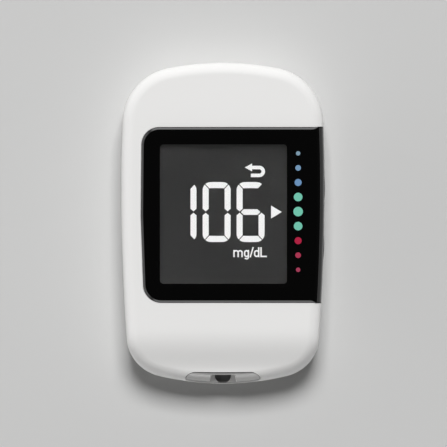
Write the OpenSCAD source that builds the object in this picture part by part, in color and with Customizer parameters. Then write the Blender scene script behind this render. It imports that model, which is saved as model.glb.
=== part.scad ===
// Blood glucose meter, lying on its back.
// The display faces +Z, the test strip goes in at the -Y end, the keys are on the +X side.
// The origin is the middle of the footprint, on the surface that the meter lies on.
// Lengths are in millimetres.

/* [Case] */
// Width of the case at its widest
case_w = 48.84; // [47.6:0.1:52]
// Length of the case
case_l = 77.1; // [76:0.1:82]
// Height of the front face above the back
case_h = 14.9; // [14.5:0.1:17]
// Height of the line where the two covers meet
part_z = 6.2; // [5.9:0.1:6.4]
// Wall thickness of both covers
wall = 1.6; // [1.3:0.1:1.8]
// How far the side leans in between the parting line and the edge rounding
draft = 0.15; // [0.1:0.05:0.4]
// Width of the rounding round the front face
front_edge_w = 2.8; // [2:0.1:3.4]
// Height of the rounding round the front face
front_edge_h = 2.6; // [2:0.1:3.2]
// Height of the rounding over the strip port
nose_edge_h = 5; // [4.4:0.1:5.2]
// Width of the rounding round the back
back_edge_w = 2.4; // [1.8:0.1:2.6]
// Height of the rounding round the back
back_edge_h = 2.6; // [1.8:0.1:3]

/* [Outline] */
// Where along the length the case is widest
widest_y = 9; // [5:0.5:12]
// Radius of the top end
top_end_r = 65.8; // [60:0.5:80]
// Radius of the side above the widest point
top_side_r = 386; // [300:5:500]
// Radius of the upper corners
top_corner_r = 13.4; // [11.5:0.1:14.5]
// Radius of the lower end
low_end_r = 66.3; // [60:0.5:80]
// Radius of the side below the widest point
low_side_r = 519; // [420:5:650]
// Radius of the lower corners
low_corner_r = 10.06; // [9:0.1:12]

/* [Chin] */
// Where the front face starts to fall towards the strip port
chin_y = -24.7; // [-26.5:0.1:-23.5]
// How far the front face falls
chin_drop = 3.2; // [2.6:0.1:3.4]
// Length over which it falls
chin_l = 11.3; // [10.6:0.1:11.8]

/* [Window] */
// Upper edge of the window
window_top = 23.1; // [22.8:0.1:24.6]
// Lower edge of the window
window_low = -19.2; // [-20.4:0.1:-19]
// Width of the white strip left of the window
window_margin = 4.75; // [4:0.05:4.8]
// Radius of the two left corners
window_r = 4.2; // [3:0.1:5]
// How far the window stands above the front face
window_rise = 0.35; // [0.2:0.05:0.5]
// Bevel round the window
window_bevel = 0.5; // [0.3:0.05:0.6]
// Thickness of the window
window_t = 1; // [0.8:0.05:1.1]
// Thickness of the tape that holds the window
tape_t = 0.15; // [0.1:0.05:0.25]
// Width of the tape
tape_w = 0.9; // [0.6:0.1:1]
// Thickness of the printed mask behind the window
mask_t = 0.1; // [0.05:0.05:0.1]

/* [Display] */
// Width of the area that shows through the mask
view_w = 30.6; // [28:0.1:32]
// Height of the area that shows through the mask
view_l = 33.6; // [31:0.1:34.6]
// Where the middle of that area lies along the length
view_y = 2.2; // [1.9:0.1:2.5]
// Width of the glass
glass_w = 34.6; // [33.6:0.1:35]
// Length of the glass
glass_l = 38.4; // [37:0.1:38.8]
// Thickness of the glass cell
glass_t = 1.2; // [1:0.1:1.4]
// Thickness of the polariser
polariser_t = 0.2; // [0.1:0.05:0.3]
// Thickness of the light guide
guide_t = 1.3; // [1:0.1:1.5]
// Thickness of the foam gasket round the display
gasket_t = 0.95; // [0.8:0.05:1.1]
// Width of the foam gasket
gasket_w = 1.2; // [0.8:0.1:1.4]
// Wall of the display holder
holder_wall = 0.7; // [0.6:0.05:0.8]
// Floor of the display holder
holder_floor = 0.8; // [0.6:0.1:1]

/* [Keys] */
// Length of a key
key_l = 10; // [8:0.5:11]
// Height of a key
key_h = 3.6; // [3:0.1:3.8]
// Distance between the two keys, middle to middle
key_pitch = 13.2; // [12.8:0.1:15]
// How far a key travels
key_travel = 0.35; // [0.2:0.05:0.4]
// How far a key stands out of the side panel
key_proud = 0.1; // [0.05:0.05:0.3]
// Gap round a key
key_gap = 0.12; // [0.08:0.02:0.2]

/* [Batteries] */
// Diameter of a coin cell
cell_d = 20; // [20:0.1:20.2]
// Thickness of a coin cell
cell_t = 3.2; // [3:0.1:3.3]
// Where the cells lie along the length
cell_y = 9.4; // [9:0.1:9.6]
// Gap round a cell
cell_gap = 0.2; // [0.15:0.05:0.3]
// Thickness of the battery door
door_t = 1.4; // [1.2:0.1:1.4]
// Gap round the battery door
door_gap = 0.15; // [0.13:0.01:0.2]
// Thickness of the battery contacts
contact_t = 0.2; // [0.15:0.05:0.25]

/* [Board] */
// Thickness of the circuit board
board_t = 1; // [0.8:0.1:1.2]
// Gap between the board and the case wall
board_gap = 1.3; // [1:0.1:1.6]

/* [Strip port] */
// Width of the port
port_w = 17.9; // [16:0.1:19]
// Height of the port, measured along its slanted face
port_h = 4.8; // [4.4:0.1:4.9]
// How far the port insert lies below the surface of the case
port_recess = 0.15; // [0.1:0.05:0.4]
// Width of the slot for the test strip
slot_w = 5; // [4.6:0.1:5.4]
// Height of the slot for the test strip
slot_h = 0.9; // [0.7:0.05:1]

/* [Ejector] */
// How far the strip ejector travels
eject_travel = 5; // [4:0.5:5]
// Running gap of the ejector
eject_gap = 0.1; // [0.06:0.01:0.15]
// Diameter of the return spring
spring_d = 2.4; // [2:0.1:2.6]
// Wire of the return spring
spring_wire = 0.3; // [0.25:0.05:0.4]

/* [Hidden] */
$fn = 48;
eps = 0.01;
big = 100;

// Steps along the arcs of the outline, round the case edges and round the window's corners
end_steps = 6;
corner_steps = 12;
side_steps = 7;
edge_steps = 6;
window_steps = 9;

// Heights, from the back upwards
cell_z = door_t + 0.3;
roof_z = cell_z + cell_t + contact_t;
roof_t = 0.6;
board_z = roof_z + roof_t + 0.8;
board_top = board_z + board_t;
boss_z = board_z - 0.2;

// Heights, from the front downwards
window_z = case_h + window_rise - window_t;
ledge_z = window_z - tape_t;
lcd_top = ledge_z - gasket_t;
glass_z = lcd_top - polariser_t - glass_t;
guide_z = glass_z - guide_t;
holder_z = guide_z - holder_floor;

// Window skirt and side panel
skirt_t = 1.4;
skirt_z = case_h - front_edge_h;
side_clear = 0.5;
panel_joint = 0.08;
flange_y = 1.6;
fit = 0.1;
tape_in = 0.25;
tape_side = 0.6;
window_mid = (window_top + window_low) / 2;

// Seats in the display holder
pocket = 0.1;
seat_l = 3.2;
guide_in = 0.5;
rubber_in = 0.7;
rubber_side = 2.2;
rubber_t = 1.6;
led_w = 3;

// Keys and switches
key_z = board_top + 1.7;
panel_in = wall + draft + fit;
panel_flange = 0.7;
key_flange_t = 0.6;
key_flange_rim = 0.8;
key_seat = 0.05;
key_dome_r = 40;
plunger_l = 0.3;
plunger_r = 0.7;
switch_w = 4.7;
switch_l = 3.5;
switch_h = 1.65;
nib_w = 1.6;
nib_h = 0.8;
nib_out = 0.5;
nib_fit = 0.06;
nib_z = board_top + switch_h / 2;

// Lip of the rear cover inside the front cover, and the shadow line outside
lip_t = 0.7;
lip_h = 0.8;
lip_end = 1;
seam_h = 0.15;
seam_depth = 0.25;

// Battery bay
cell_x = cell_d / 2 + 0.35;
well_r = cell_d / 2 + cell_gap;
well_wall = 1.1;
door_w = 2 * (cell_x + cell_d / 2) + 0.7;
door_low = cell_y - cell_d / 2 - 2.4;
door_top = cell_y + cell_d / 2 + 2.8;
door_r = 2;
bay_ledge_t = 1.1;
hook_x = 12;
hook_w = 5;
hook_t = 0.8;
hook_out = 1.25;
hook_gap = 0.3;
hook_swing = 3.2;
hook_room = 2.7;
bay_side = 0.9;
bay_end = 1.6;
door_seat = 0.05;
link_bay_w = 6;
link_bay_l = 7;
latch_w = 6;
latch_t = 0.8;
latch_h = 1;
latch_gap = 0.4;
nail_r = 4.5;
nail_z = 0.9;
nail_depth = 3;
tail_x = cell_x + 5.95;
blade_w = 4;
blade_l = 10;
rim_gap = 0.02;

// Bosses and screws
case_boss_r = 2.5;
case_screw_r = 0.9;
case_head_r = 1.7;
case_head_h = 1.1;
case_seat_z = 3;
case_screw_l = 6.8;
case_screw_in = 7.4;
case_screw_top = case_l / 2 - 8.8;
case_screw_low = -case_l / 2 + 10;
case_screw_places = [
  for (sx = [-1, 1], y = [case_screw_top, case_screw_low]) [sx * (case_w / 2 - case_screw_in), y]
];
board_boss_r = 1.6;
board_screw_r = 0.7;
board_head_r = 1.25;
board_head_h = 0.6;
board_screw_l = 4;
board_screw_x = 11.5;
board_screw_gap = 3.8;
board_screw_reach = glass_l / 2 + holder_wall + board_boss_r + board_screw_gap;
board_screw_places = [
  for (sx = [-1, 1], sy = [-1, 1]) [sx * board_screw_x, view_y + sy * board_screw_reach]
];
screw_fit = 0.02;
hole_end = 0.4;
head_gap = 0.2;

// Strip port: the slanted face of the nose
port_tilt = 56;
nose_r = 4.52;
nose_in = draft + 4.56;
nose_down = 4;
nose_z = case_h - chin_drop - nose_down;
port_in = 1.48;
port_up = 1.8;
port_y = -case_l / 2 + port_in;
port_z = nose_z + port_up;
port_t = 2.6;
port_fit = 0.08;
channel_back_w = 5.5;
channel_mouth_w = 6.9;
channel_in = 2.2;
channel_y = -case_l / 2 + channel_in;
channel_tilt = 20;
strip_up = 0.8;
strip_z = board_top + strip_up;
thumb_r = 1.6;
thumb_half = 0.35;
thumb_depth = 0.8;

// Strip connector on the board
connector_w = 10;
connector_in = 4.05;
connector_y = -case_l / 2 + connector_in;
connector_l = 12;
connector_h = 2.3;
leaf_places = [-2.2, -1.5, 1.5, 2.2];
leaf_w = 0.4;
leaf_t = 0.2;
leaf_l = 6.8;
leaf_gap = 0.02;
leaf_foot = 1;
strip_in = 9.1;
strip_stop_y = connector_y + strip_in;

// Ejector
scoop_w = 13;
scoop_l = 19;
scoop_depth = 1.5;
scoop_y = strip_stop_y + 1.4;
track_end = 1.4;
track_side = 1.8;
track_t = 1.4;
track_z = scoop_depth + track_t;
pad_l = 9;
pad_w = 7.2;
pad_low = 0.35;
pad_rib = 0.4;
pad_rib_pitch = 1.4;
stem_w = 3.4;
stem_l = 8;
stem_gap = 0.15;
slide_w = 10;
slide_t = 1.2;
slide_l = 14;
slide_y = scoop_y + 1.5;
finger_w = 1.6;
finger_t = 1.2;
finger_gap = 0.3;
finger_y = strip_stop_y + 0.8;
rail_t = 1;
rail_lip = 0.6;
rail_top = 0.7;
spring_x = slide_w / 2 + rail_t + 1.8;
arm_t = 1.5;
arm_y = slide_y + slide_l / 2 - arm_t;
spring_l = 12.5;
spring_z = track_z + spring_d / 2 + 0.1;
spring_turns = 9;
spring_rim = 0.2;
spring_end = 0.02;
stop_t = 1.2;
track_w = 2 * (spring_x + track_side);

// Cutouts in the board, and chips on it
cutout_gap = 0.3;
chip_at = [-5, 4];
chip_size = [9, 9, 1.1];
radio_at = [8, -6];
radio_size = [8, 6.5, 1.6];
crystal_size = [3.2, 1.5, 0.9];
crystal_gap = 3.2;
cap_size = [1.6, 0.8, 0.7];
cap_pitch = 2.3;

// Data socket
usb_w = 7.5;
usb_h = 2.6;
usb_l = 5;
usb_wall = 0.25;
usb_gap = 0.25;
usb_in = 0.5;
usb_y = case_l / 2 - usb_in;
usb_tongue_t = 0.6;
usb_tongue_in = 1.6;

// ---------------------------------------------------------------- outline

// The meeting point with the larger x of two circles
function circles_meet(p, r, q, s) =
  let (gap = norm(q - p), u = (q - p) / gap)
  let (t = (gap * gap + r * r - s * s) / (2 * gap), h = sqrt(r * r - t * t))
  let (a = p + t * u + h * [u.y, -u.x], b = p + t * u - h * [u.y, -u.x])
  a.x > b.x ? a : b;

function arc(centre, r, from, to, steps) =
  [for (i = [0:steps]) let (a = from + (to - from) * i / steps) centre + r * [cos(a), sin(a)]];

// One quarter of the outline, from the end's middle to the widest point.
// side is 1 for the top end and -1 for the lower end.
function quarter(side, end_r, side_r, corner_r, inset) =
  let (
    end_c = [0, side * (case_l / 2 - end_r)],
    side_c = [case_w / 2 - side_r, widest_y],
    corner_c = circles_meet(end_c, end_r - corner_r, side_c, side_r - corner_r),
    to_end = corner_c - end_c,
    to_side = corner_c - side_c,
    end_a = atan2(to_end.y, to_end.x),
    side_a = atan2(to_side.y, to_side.x)
  )
  concat(
    arc(end_c, end_r - inset, side * 90, end_a, end_steps),
    [for (i = [1:corner_steps]) arc(corner_c, corner_r - inset, end_a, side_a, corner_steps)[i]],
    [for (i = [1:side_steps]) arc(side_c, side_r - inset, side_a, 0, side_steps)[i]]
  );

function low_quarter(inset) = quarter(-1, low_end_r, low_side_r, low_corner_r, inset);
function top_quarter(inset) = quarter(1, top_end_r, top_side_r, top_corner_r, inset);

// The right half, from the middle of the lower end to the middle of the top end
function right_half(inset) =
  let (low = low_quarter(inset), top = top_quarter(inset), last = len(top) - 1)
  concat(low, [for (i = [1:last]) top[last - i]]);

function outline(inset = 0) =
  let (right = right_half(inset), last = len(right) - 1)
  concat(right, [for (i = [1:last - 1]) [-right[last - i].x, right[last - i].y]]);

// Half the width of the case along its sides
function side_x(y) =
  let (r = y > widest_y ? top_side_r : low_side_r)
  case_w / 2 - r + sqrt(r * r - (y - widest_y) * (y - widest_y));

half_count = len(right_half(0)) - 1;
ring_count = 2 * half_count;

// ---------------------------------------------------------------- case solids

function fall(y) = let (u = min(1, max(0, (chin_y - y) / chin_l))) 4 * pow(u, 3) - 3 * pow(u, 4);
function front_z(y) = case_h - chin_drop * fall(y);
function front_edge(y) = front_edge_h + (nose_edge_h - front_edge_h) * fall(y);

// A ring of the front half: the inset of the outline, and how far round the edge it is
function front_ring(inset, depth, angle) = [
  for (p = outline(inset + draft + (front_edge_w - inset) * (1 - cos(angle))))
    [p.x, p.y, front_z(p.y) - depth - (front_edge(p.y) - depth) * (1 - sin(angle))]
];

function back_ring(inset, depth, angle) = [
  for (p = outline(inset + draft + (back_edge_w - inset) * (1 - cos(angle))))
    [p.x, p.y, depth + (back_edge_h - depth) * (1 - sin(angle))]
];

function flat_ring(inset, z) = [for (p = outline(inset)) [p.x, p.y, z]];

// Faces between successive rings, wound for rings that rise
function ring_faces(rings, n) = [
  for (k = [0:rings - 2], i = [0:n - 1])
    [k * n + i, (k + 1) * n + i, (k + 1) * n + (i + 1) % n, k * n + (i + 1) % n]
];

// A cap of crosswise strips, each of which is flat because its height depends on y alone
function strip_cap(start, n) = [
  for (i = [0:n / 2 - 1])
    let (a = start + i, b = start + i + 1, c = start + (n - i - 1) % n, d = start + (n - i) % n)
    i == 0 ? [a, c, b] : i == n / 2 - 1 ? [a, d, b] : [a, d, c, b]
];

// The front half of the case, inset by a wall and lowered by a depth
module front_solid(inset, depth, low_z) {
  rings = concat(
    [flat_ring(inset, low_z)],
    [for (k = [0:edge_steps]) front_ring(inset, depth, 90 * k / edge_steps)]
  );
  n = ring_count;
  polyhedron(
    points = [for (r = rings) each r],
    faces = concat([[for (i = [0:n - 1]) i]], ring_faces(len(rings), n), strip_cap((len(rings) - 1) * n, n))
  );
}

// The back half of the case, inset by a wall and raised by a depth
module back_solid(inset, depth, top_z) {
  rings = concat(
    [for (k = [0:edge_steps]) back_ring(inset, depth, 90 - 90 * k / edge_steps)],
    [flat_ring(inset, top_z)]
  );
  n = ring_count;
  last = (len(rings) - 1) * n;
  polyhedron(
    points = [for (r = rings) each r],
    faces = concat(
      [[for (i = [0:n - 1]) i]], ring_faces(len(rings), n), [[for (i = [0:n - 1]) last + n - 1 - i]]
    )
  );
}

module prism(inset, low_z, top_z) {
  translate([0, 0, low_z]) linear_extrude(top_z - low_z) polygon(outline(inset));
}

// A band that follows the outline between two insets
module band(outer, inner, low_z, top_z) {
  difference() {
    prism(outer, low_z, top_z);
    prism(inner, low_z - 1, top_z + 1);
  }
}

// The lip that locates the covers, with gaps at the side panel and the strip port
module lip(grow) {
  panel_end = flange_y + lip_end - grow;
  port_end = port_w / 2 + lip_end - grow;
  difference() {
    band(wall - lip_t - grow, wall + 3 * grow, part_z - eps, part_z + lip_h + grow);
    block([case_w / 4, case_w], [window_low - panel_end, window_top + panel_end], [0, big]);
    block([-port_end, port_end], [-case_l, -case_l / 2 + 2 * nose_in], [0, big]);
  }
}

// ---------------------------------------------------------------- small shapes

module block(x, y, z) {
  translate([x[0], y[0], z[0]]) cube([x[1] - x[0], y[1] - y[0], z[1] - z[0]]);
}

// A rectangle with round corners
module rounded(w, l, r) {
  square([w - 2 * r, l], center = true);
  square([w, l - 2 * r], center = true);
  for (sx = [-1, 1], sy = [-1, 1]) translate([sx * (w / 2 - r), sy * (l / 2 - r)]) circle(r = r);
}

// A slot with round ends along x, of full width w and height h
module stadium(w, h) {
  square([w - h, h], center = true);
  for (s = [-1, 1]) translate([s * (w - h) / 2, 0]) circle(d = h);
}

module pole(at, r, low_z, top_z) {
  translate([at[0], at[1], low_z]) cylinder(r = r, h = top_z - low_z);
}

// ---------------------------------------------------------------- window

// The left edge of the window follows the side of the case
function window_x(y) = window_margin - side_x(y);

function window_points(inset) =
  let (
    r = window_r - inset,
    top_c = [window_x(window_top - window_r) + window_r, window_top - window_r],
    low_c = [window_x(window_low + window_r) + window_r, window_low + window_r]
  )
  concat(
    [[case_w, window_low + inset], [case_w, window_top - inset]],
    arc(top_c, r, 90, 180, window_steps),
    [[window_x(window_mid) + inset, window_mid]],
    arc(low_c, r, 180, 270, window_steps)
  );

module window_prism(inset, low_z, top_z) {
  translate([0, 0, low_z]) linear_extrude(top_z - low_z) polygon(window_points(inset));
}

// The window's outline with its bevel
module window_form() {
  face_z = case_h + window_rise;
  levels = [[0, 0], [0, face_z - window_bevel], [window_bevel, face_z], [window_bevel, face_z + window_t]];
  n = len(window_points(0));
  polyhedron(
    points = [for (l = levels, p = window_points(l[0])) [p.x, p.y, l[1]]],
    faces = concat(
      [[for (i = [0:n - 1]) i]], ring_faces(len(levels), n),
      [[for (i = [0:n - 1]) (len(levels) - 1) * n + n - 1 - i]]
    )
  );
}

module display_window() {
  color([0.03, 0.03, 0.03])
    difference() {
      intersection() {
        front_solid(0, -window_rise, part_z);
        window_form();
        block([-case_w, case_w], [-case_l, case_l], [skirt_z, big]);
      }
      prism(skirt_t, 0, window_z);
    }
}

module window_tape() {
  color([0.15, 0.15, 0.16])
    difference() {
      intersection() {
        window_prism(tape_in, ledge_z, window_z);
        prism(skirt_t + tape_side, 0, big);
      }
      intersection() {
        window_prism(tape_in + tape_w, ledge_z - 1, window_z + 1);
        prism(skirt_t + tape_side + tape_w, 0, big);
      }
    }
}

module window_mask() {
  color([0.02, 0.02, 0.02])
    difference() {
      intersection() {
        window_prism(tape_in + tape_w + fit, window_z - mask_t, window_z);
        prism(skirt_t + tape_side + tape_w + fit, 0, big);
      }
      translate([0, view_y, window_z]) cube([view_w, view_l, 2], center = true);
    }
}

// ---------------------------------------------------------------- display stack

module centred(w, l, low_z, top_z, y = view_y) {
  translate([-w / 2, y - l / 2, low_z]) cube([w, l, top_z - low_z]);
}

module lcd_gasket() {
  color([0.1, 0.1, 0.1])
    difference() {
      centred(glass_w, glass_l, lcd_top, lcd_top + gasket_t);
      centred(glass_w - 2 * gasket_w, glass_l - 2 * gasket_w, 0, big);
    }
}

module lcd_polariser() {
  color([0.2, 0.2, 0.2]) centred(glass_w, glass_l, glass_z + glass_t, lcd_top);
}

module lcd_glass() {
  color([0.35, 0.37, 0.38]) centred(glass_w, glass_l, glass_z, glass_z + glass_t);
}

module lcd_light_guide() {
  color([0.85, 0.88, 0.9])
    block(
      [-glass_w / 2 + guide_in, glass_w / 2 - guide_in],
      [view_y - glass_l / 2 + seat_l, view_y + glass_l / 2 - guide_in + pocket],
      [guide_z, glass_z]
    );
}

module lcd_holder() {
  outer_w = glass_w + 2 * (holder_wall + pocket);
  outer_l = glass_l + 2 * (holder_wall + pocket);
  leg = 3;
  color([0.9, 0.9, 0.88])
    difference() {
      union() {
        centred(outer_w, outer_l, holder_z, lcd_top - polariser_t);
        for (sx = [-1, 1], sy = [-1, 1])
          translate([sx * (outer_w - leg) / 2, view_y + sy * (outer_l - leg) / 2, board_top])
            translate([-leg / 2, -leg / 2, 0]) cube([leg, leg, holder_z - board_top + eps]);
      }
      centred(glass_w + 2 * pocket, glass_l + 2 * pocket, glass_z, big);
      block(
        [-glass_w / 2 + guide_in - pocket, glass_w / 2 - guide_in + pocket],
        [view_y - glass_l / 2 + seat_l - pocket, view_y + glass_l / 2 - guide_in + 2 * pocket], [guide_z, big]
      );
      rubber_block(pocket, 0, big);
      centred(led_w + 2 * pocket, 1, guide_z, guide_z + guide_t, view_y + glass_l / 2);
    }
}

// The rubber strip that joins the glass to the board, and with a gap its slot in the holder
module rubber_block(grow, low_z, top_z) {
  low_y = view_y - glass_l / 2 + rubber_in;
  side = glass_w / 2 - rubber_side + 2 * grow;
  block([-side, side], [low_y - grow, low_y + rubber_t + grow], [low_z, top_z]);
}

module lcd_connector() {
  color([0.85, 0.75, 0.6]) rubber_block(0, board_top, glass_z);
}

module backlight_led() {
  color([0.95, 0.95, 0.8])
    translate([-led_w / 2, view_y + glass_l / 2 - 0.35, guide_z]) cube([led_w, 0.75, guide_t - 0.1]);
}

// ---------------------------------------------------------------- side panel and keys

module side_panel() {
  low_y = window_low + panel_joint;
  top_y = window_top - panel_joint;
  color([0.05, 0.05, 0.05])
    difference() {
      union() {
        intersection() {
          front_solid(0, 0, part_z + panel_joint);
          block([0, case_w], [low_y, top_y], [part_z + panel_joint, skirt_z - panel_joint]);
        }
        difference() {
          prism(panel_in, part_z + lip_h + 4 * fit, skirt_z - panel_joint);
          block([-case_w, case_w / 4], [-case_l, case_l], [0, big]);
          block([-case_w, case_w], [-case_l, low_y - flange_y], [0, big]);
          block([-case_w, case_w], [top_y + flange_y, case_l], [0, big]);
        }
      }
      prism(panel_in + panel_flange, 0, big);
      for (s = [-1, 1]) key_hole(s);
    }
}

function key_y(s) = window_mid + s * key_pitch / 2;

// Where a key's flange stops against the side panel
function key_stop(s) =
  min([for (e = [-1, 1]) side_x(key_y(s) + e * (key_l / 2 + key_flange_rim))])
  - panel_in - panel_flange - key_seat;

// The face of a switch's housing
function switch_x(s) = key_stop(s) - key_flange_t - plunger_l - nib_out;

module key_profile(grow) {
  rotate([90, 0, 90]) linear_extrude(case_w) stadium(key_l + 2 * grow, key_h + 2 * grow);
}

module key_hole(s) {
  translate([0, key_y(s), key_z]) key_profile(key_gap);
}

// A key cap with a domed end, a flange that keeps it in the panel, and a plunger
module key(s) {
  face_x = side_x(key_y(s)) - draft / 2 + key_proud;
  stop_x = key_stop(s);
  color([0.07, 0.07, 0.08]) {
    intersection() {
      translate([0, key_y(s), key_z]) key_profile(0);
      translate([face_x - key_dome_r, key_y(s), 0]) cylinder(r = key_dome_r, h = big, $fn = 96);
      block([stop_x - key_flange_t / 2, case_w], [-case_l, case_l], [0, big]);
    }
    translate([stop_x - key_flange_t, key_y(s), key_z])
      rotate([90, 0, 90])
        linear_extrude(key_flange_t) stadium(key_l + 2 * key_flange_rim, key_h + key_flange_rim);
    translate([stop_x - key_flange_t - plunger_l, key_y(s), board_top + switch_h / 2])
      rotate([0, 90, 0]) cylinder(r = plunger_r, h = plunger_l + key_flange_t / 2);
  }
}

module up_button() { key(1); }
module down_button() { key(-1); }

module switch_body(s) {
  color([0.75, 0.75, 0.72])
    difference() {
      block(
        [switch_x(s) - switch_l, switch_x(s)], [key_y(s) - switch_w / 2, key_y(s) + switch_w / 2],
        [board_top, board_top + switch_h]
      );
      translate([switch_x(s) - key_travel - nib_out - fit, key_y(s), nib_z])
        rotate([90, 0, 90])
          linear_extrude(big) square([nib_w + 2 * nib_fit, nib_h + 2 * nib_fit], center = true);
    }
}

module switch_nib(s) {
  color([0.1, 0.1, 0.1])
    translate([switch_x(s), key_y(s), nib_z]) cube([2 * nib_out, nib_w, nib_h], center = true);
}

module up_switch() { switch_body(1); }
module down_switch() { switch_body(-1); }
module up_switch_nib() { switch_nib(1); }
module down_switch_nib() { switch_nib(-1); }

// ---------------------------------------------------------------- front cover

// Places things in the frame of the slanted port face: x across, y up the face, z outwards
module at_port() {
  translate([0, port_y, port_z]) rotate([port_tilt, 0, 0]) children();
}

module usb_hole() {
  translate([0, case_l / 2 + 1, board_top + usb_h / 2])
    rotate([90, 0, 0])
      linear_extrude(usb_l + 2)
        stadium(usb_w + 2 * usb_gap, usb_h + 2 * usb_gap);
}

module front_cover() {
  opening = 3 * fit;
  color([0.93, 0.93, 0.92])
    difference() {
      union() {
        difference() {
          front_solid(0, 0, part_z);
          front_solid(wall, wall, part_z - 1);
          lip(fit);
          band(-1, seam_depth, part_z - 1, part_z + seam_h);
        }
        for (p = case_screw_places) pole(p, case_boss_r, boss_z, front_z(p[1]) - wall / 2);
        for (p = board_screw_places) pole(p, board_boss_r, board_top, ledge_z - opening);
      }
      window_prism(-fit, ledge_z, big);
      centred(glass_w + 2 * opening, glass_l + 2 * opening, 0, ledge_z + eps);
      difference() {
        block([case_w / 4, case_w], [window_low, window_top], [0, big]);
        prism(skirt_t + fit, 0, big);
      }
      difference() {
        block([case_w / 4, case_w], [window_low, window_top], [0, ledge_z - 1]);
        prism(wall + side_clear, 0, big);
      }
      for (p = case_screw_places)
        pole(p, case_screw_r + screw_fit, boss_z - 1, case_seat_z + case_screw_l + hole_end);
      for (p = board_screw_places) pole(p, board_screw_r + screw_fit, 0, board_top + board_screw_l);
      at_port() translate([0, 0, -2 * port_t]) linear_extrude(4 * port_t) stadium(port_w, port_h);
      usb_hole();
    }
}

// ---------------------------------------------------------------- strip port

module strip_port_bezel() {
  color([0.62, 0.62, 0.6])
    difference() {
      intersection() {
        at_port()
          translate([0, 0, -port_t])
            linear_extrude(2 * port_t) stadium(port_w - 2 * port_fit, port_h - 2 * port_fit);
        translate([0, -case_l / 2 + low_end_r, nose_z])
          rotate_extrude($fn = 360)
            translate([low_end_r - nose_in, 0]) circle(r = nose_r - port_recess, $fn = 96);
        block([-case_w, case_w], [-case_l, connector_y], [0, big]);
      }
      channel();
      block([-slot_w / 2, slot_w / 2], [-case_l / 2, connector_y + 1], [strip_z, strip_z + slot_h]);
      intersection() {
        hull()
          for (s = [-1, 1]) pole([s * thumb_half, channel_y], thumb_r, strip_z - thumb_depth, big);
        block([-port_w, port_w], [-case_l, channel_y], [0, big]);
      }
    }
}

// The open channel in front of the slot, whose floor falls away from the slot's lower lip
module channel() {
  intersection() {
    linear_extrude(big)
      polygon([
        [-channel_back_w / 2, channel_y], [channel_back_w / 2, channel_y],
        [channel_mouth_w / 2, -case_l / 2], [-channel_mouth_w / 2, -case_l / 2]
      ]);
    translate([0, channel_y, strip_z])
      rotate([channel_tilt, 0, 0]) block([-port_w, port_w], [-big, big], [0, big]);
  }
}

// The slot in which the ejector's finger runs
module finger_slot(side, end, top_z) {
  block(
    [-finger_w / 2 - side, finger_w / 2 + side],
    [finger_y - finger_t / 2 - eject_travel - end, finger_y + finger_t / 2 + end], [0, top_z]
  );
}

module strip_connector() {
  color([0.9, 0.88, 0.82])
    difference() {
      block(
        [-connector_w / 2, connector_w / 2], [connector_y, connector_y + connector_l],
        [board_top, board_top + connector_h]
      );
      block(
        [-slot_w / 2 - fit, slot_w / 2 + fit], [connector_y - 1, strip_stop_y],
        [strip_z, strip_z + slot_h]
      );
      finger_slot(finger_gap, finger_gap, strip_z + slot_h);
      for (x = leaf_places)
        block(
          [x - leaf_w / 2 - fit, x + leaf_w / 2 + fit], [strip_stop_y - leaf_l - leaf_t, big],
          [strip_z + slot_h - eps, strip_z + slot_h + leaf_t + leaf_gap]
        );
    }
}

// Spring leaves that touch the strip, with tails down to the board
module strip_contacts() {
  tail_y = connector_y + connector_l + 2 * leaf_t;
  low_z = strip_z + slot_h + leaf_gap;
  color([0.85, 0.7, 0.35])
    for (x = leaf_places) {
      xs = [x - leaf_w / 2, x + leaf_w / 2];
      block(xs, [strip_stop_y - leaf_l, tail_y + leaf_t], [low_z, low_z + leaf_t]);
      block(xs, [tail_y, tail_y + leaf_t], [board_top, low_z + leaf_t]);
      block(xs, [tail_y, tail_y + leaf_foot], [board_top, board_top + leaf_t]);
    }
}

module slot_led() {
  color([0.95, 0.95, 0.75])
    translate([connector_w / 2 + 0.8, connector_y + 1.5, board_top]) cube([1.6, 0.8, 0.6]);
}

// ---------------------------------------------------------------- board

module circuit_board() {
  color([0.1, 0.35, 0.2])
    difference() {
      prism(wall + board_gap, board_z, board_top);
      for (p = case_screw_places) pole(p, case_boss_r + cutout_gap, 0, big);
      for (p = board_screw_places) pole(p, board_screw_r + cutout_gap / 2, 0, big);
      finger_slot(cutout_gap, 2 * cutout_gap, big);
      block([-port_w / 2 - side_clear, port_w / 2 + side_clear], [-case_l, connector_y - fit], [0, big]);
      block(
        [min(key_stop(1), key_stop(-1)) - key_flange_t - key_travel - cutout_gap, case_w],
        [key_y(-1) - key_l / 2 - 2 * key_flange_rim, key_y(1) + key_l / 2 + 2 * key_flange_rim], [0, big]
      );
    }
}

module chip(at, size) {
  translate([at[0] - size[0] / 2, at[1] - size[1] / 2, board_top]) cube(size);
}

module main_chip() { color([0.12, 0.12, 0.12]) chip(chip_at, chip_size); }
module radio_module() { color([0.75, 0.76, 0.78]) chip(radio_at, radio_size); }
module crystal() {
  color([0.8, 0.8, 0.82])
    chip([chip_at.x, chip_at.y + chip_size.y / 2 + crystal_gap + crystal_size.y / 2], crystal_size);
}

module board_capacitors() {
  color([0.7, 0.6, 0.45])
    for (i = [0:3]) {
      chip([chip_at.x + chip_size.x + cap_pitch * i, chip_at.y + chip_size.y / 2], cap_size);
      chip(
        [chip_at.x - chip_size.x / 2 - 2.5 * cap_size.y, chip_at.y - chip_size.y + cap_pitch * i],
        [cap_size.y, cap_size.x, cap_size.z]
      );
    }
}

// ---------------------------------------------------------------- data socket

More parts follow.
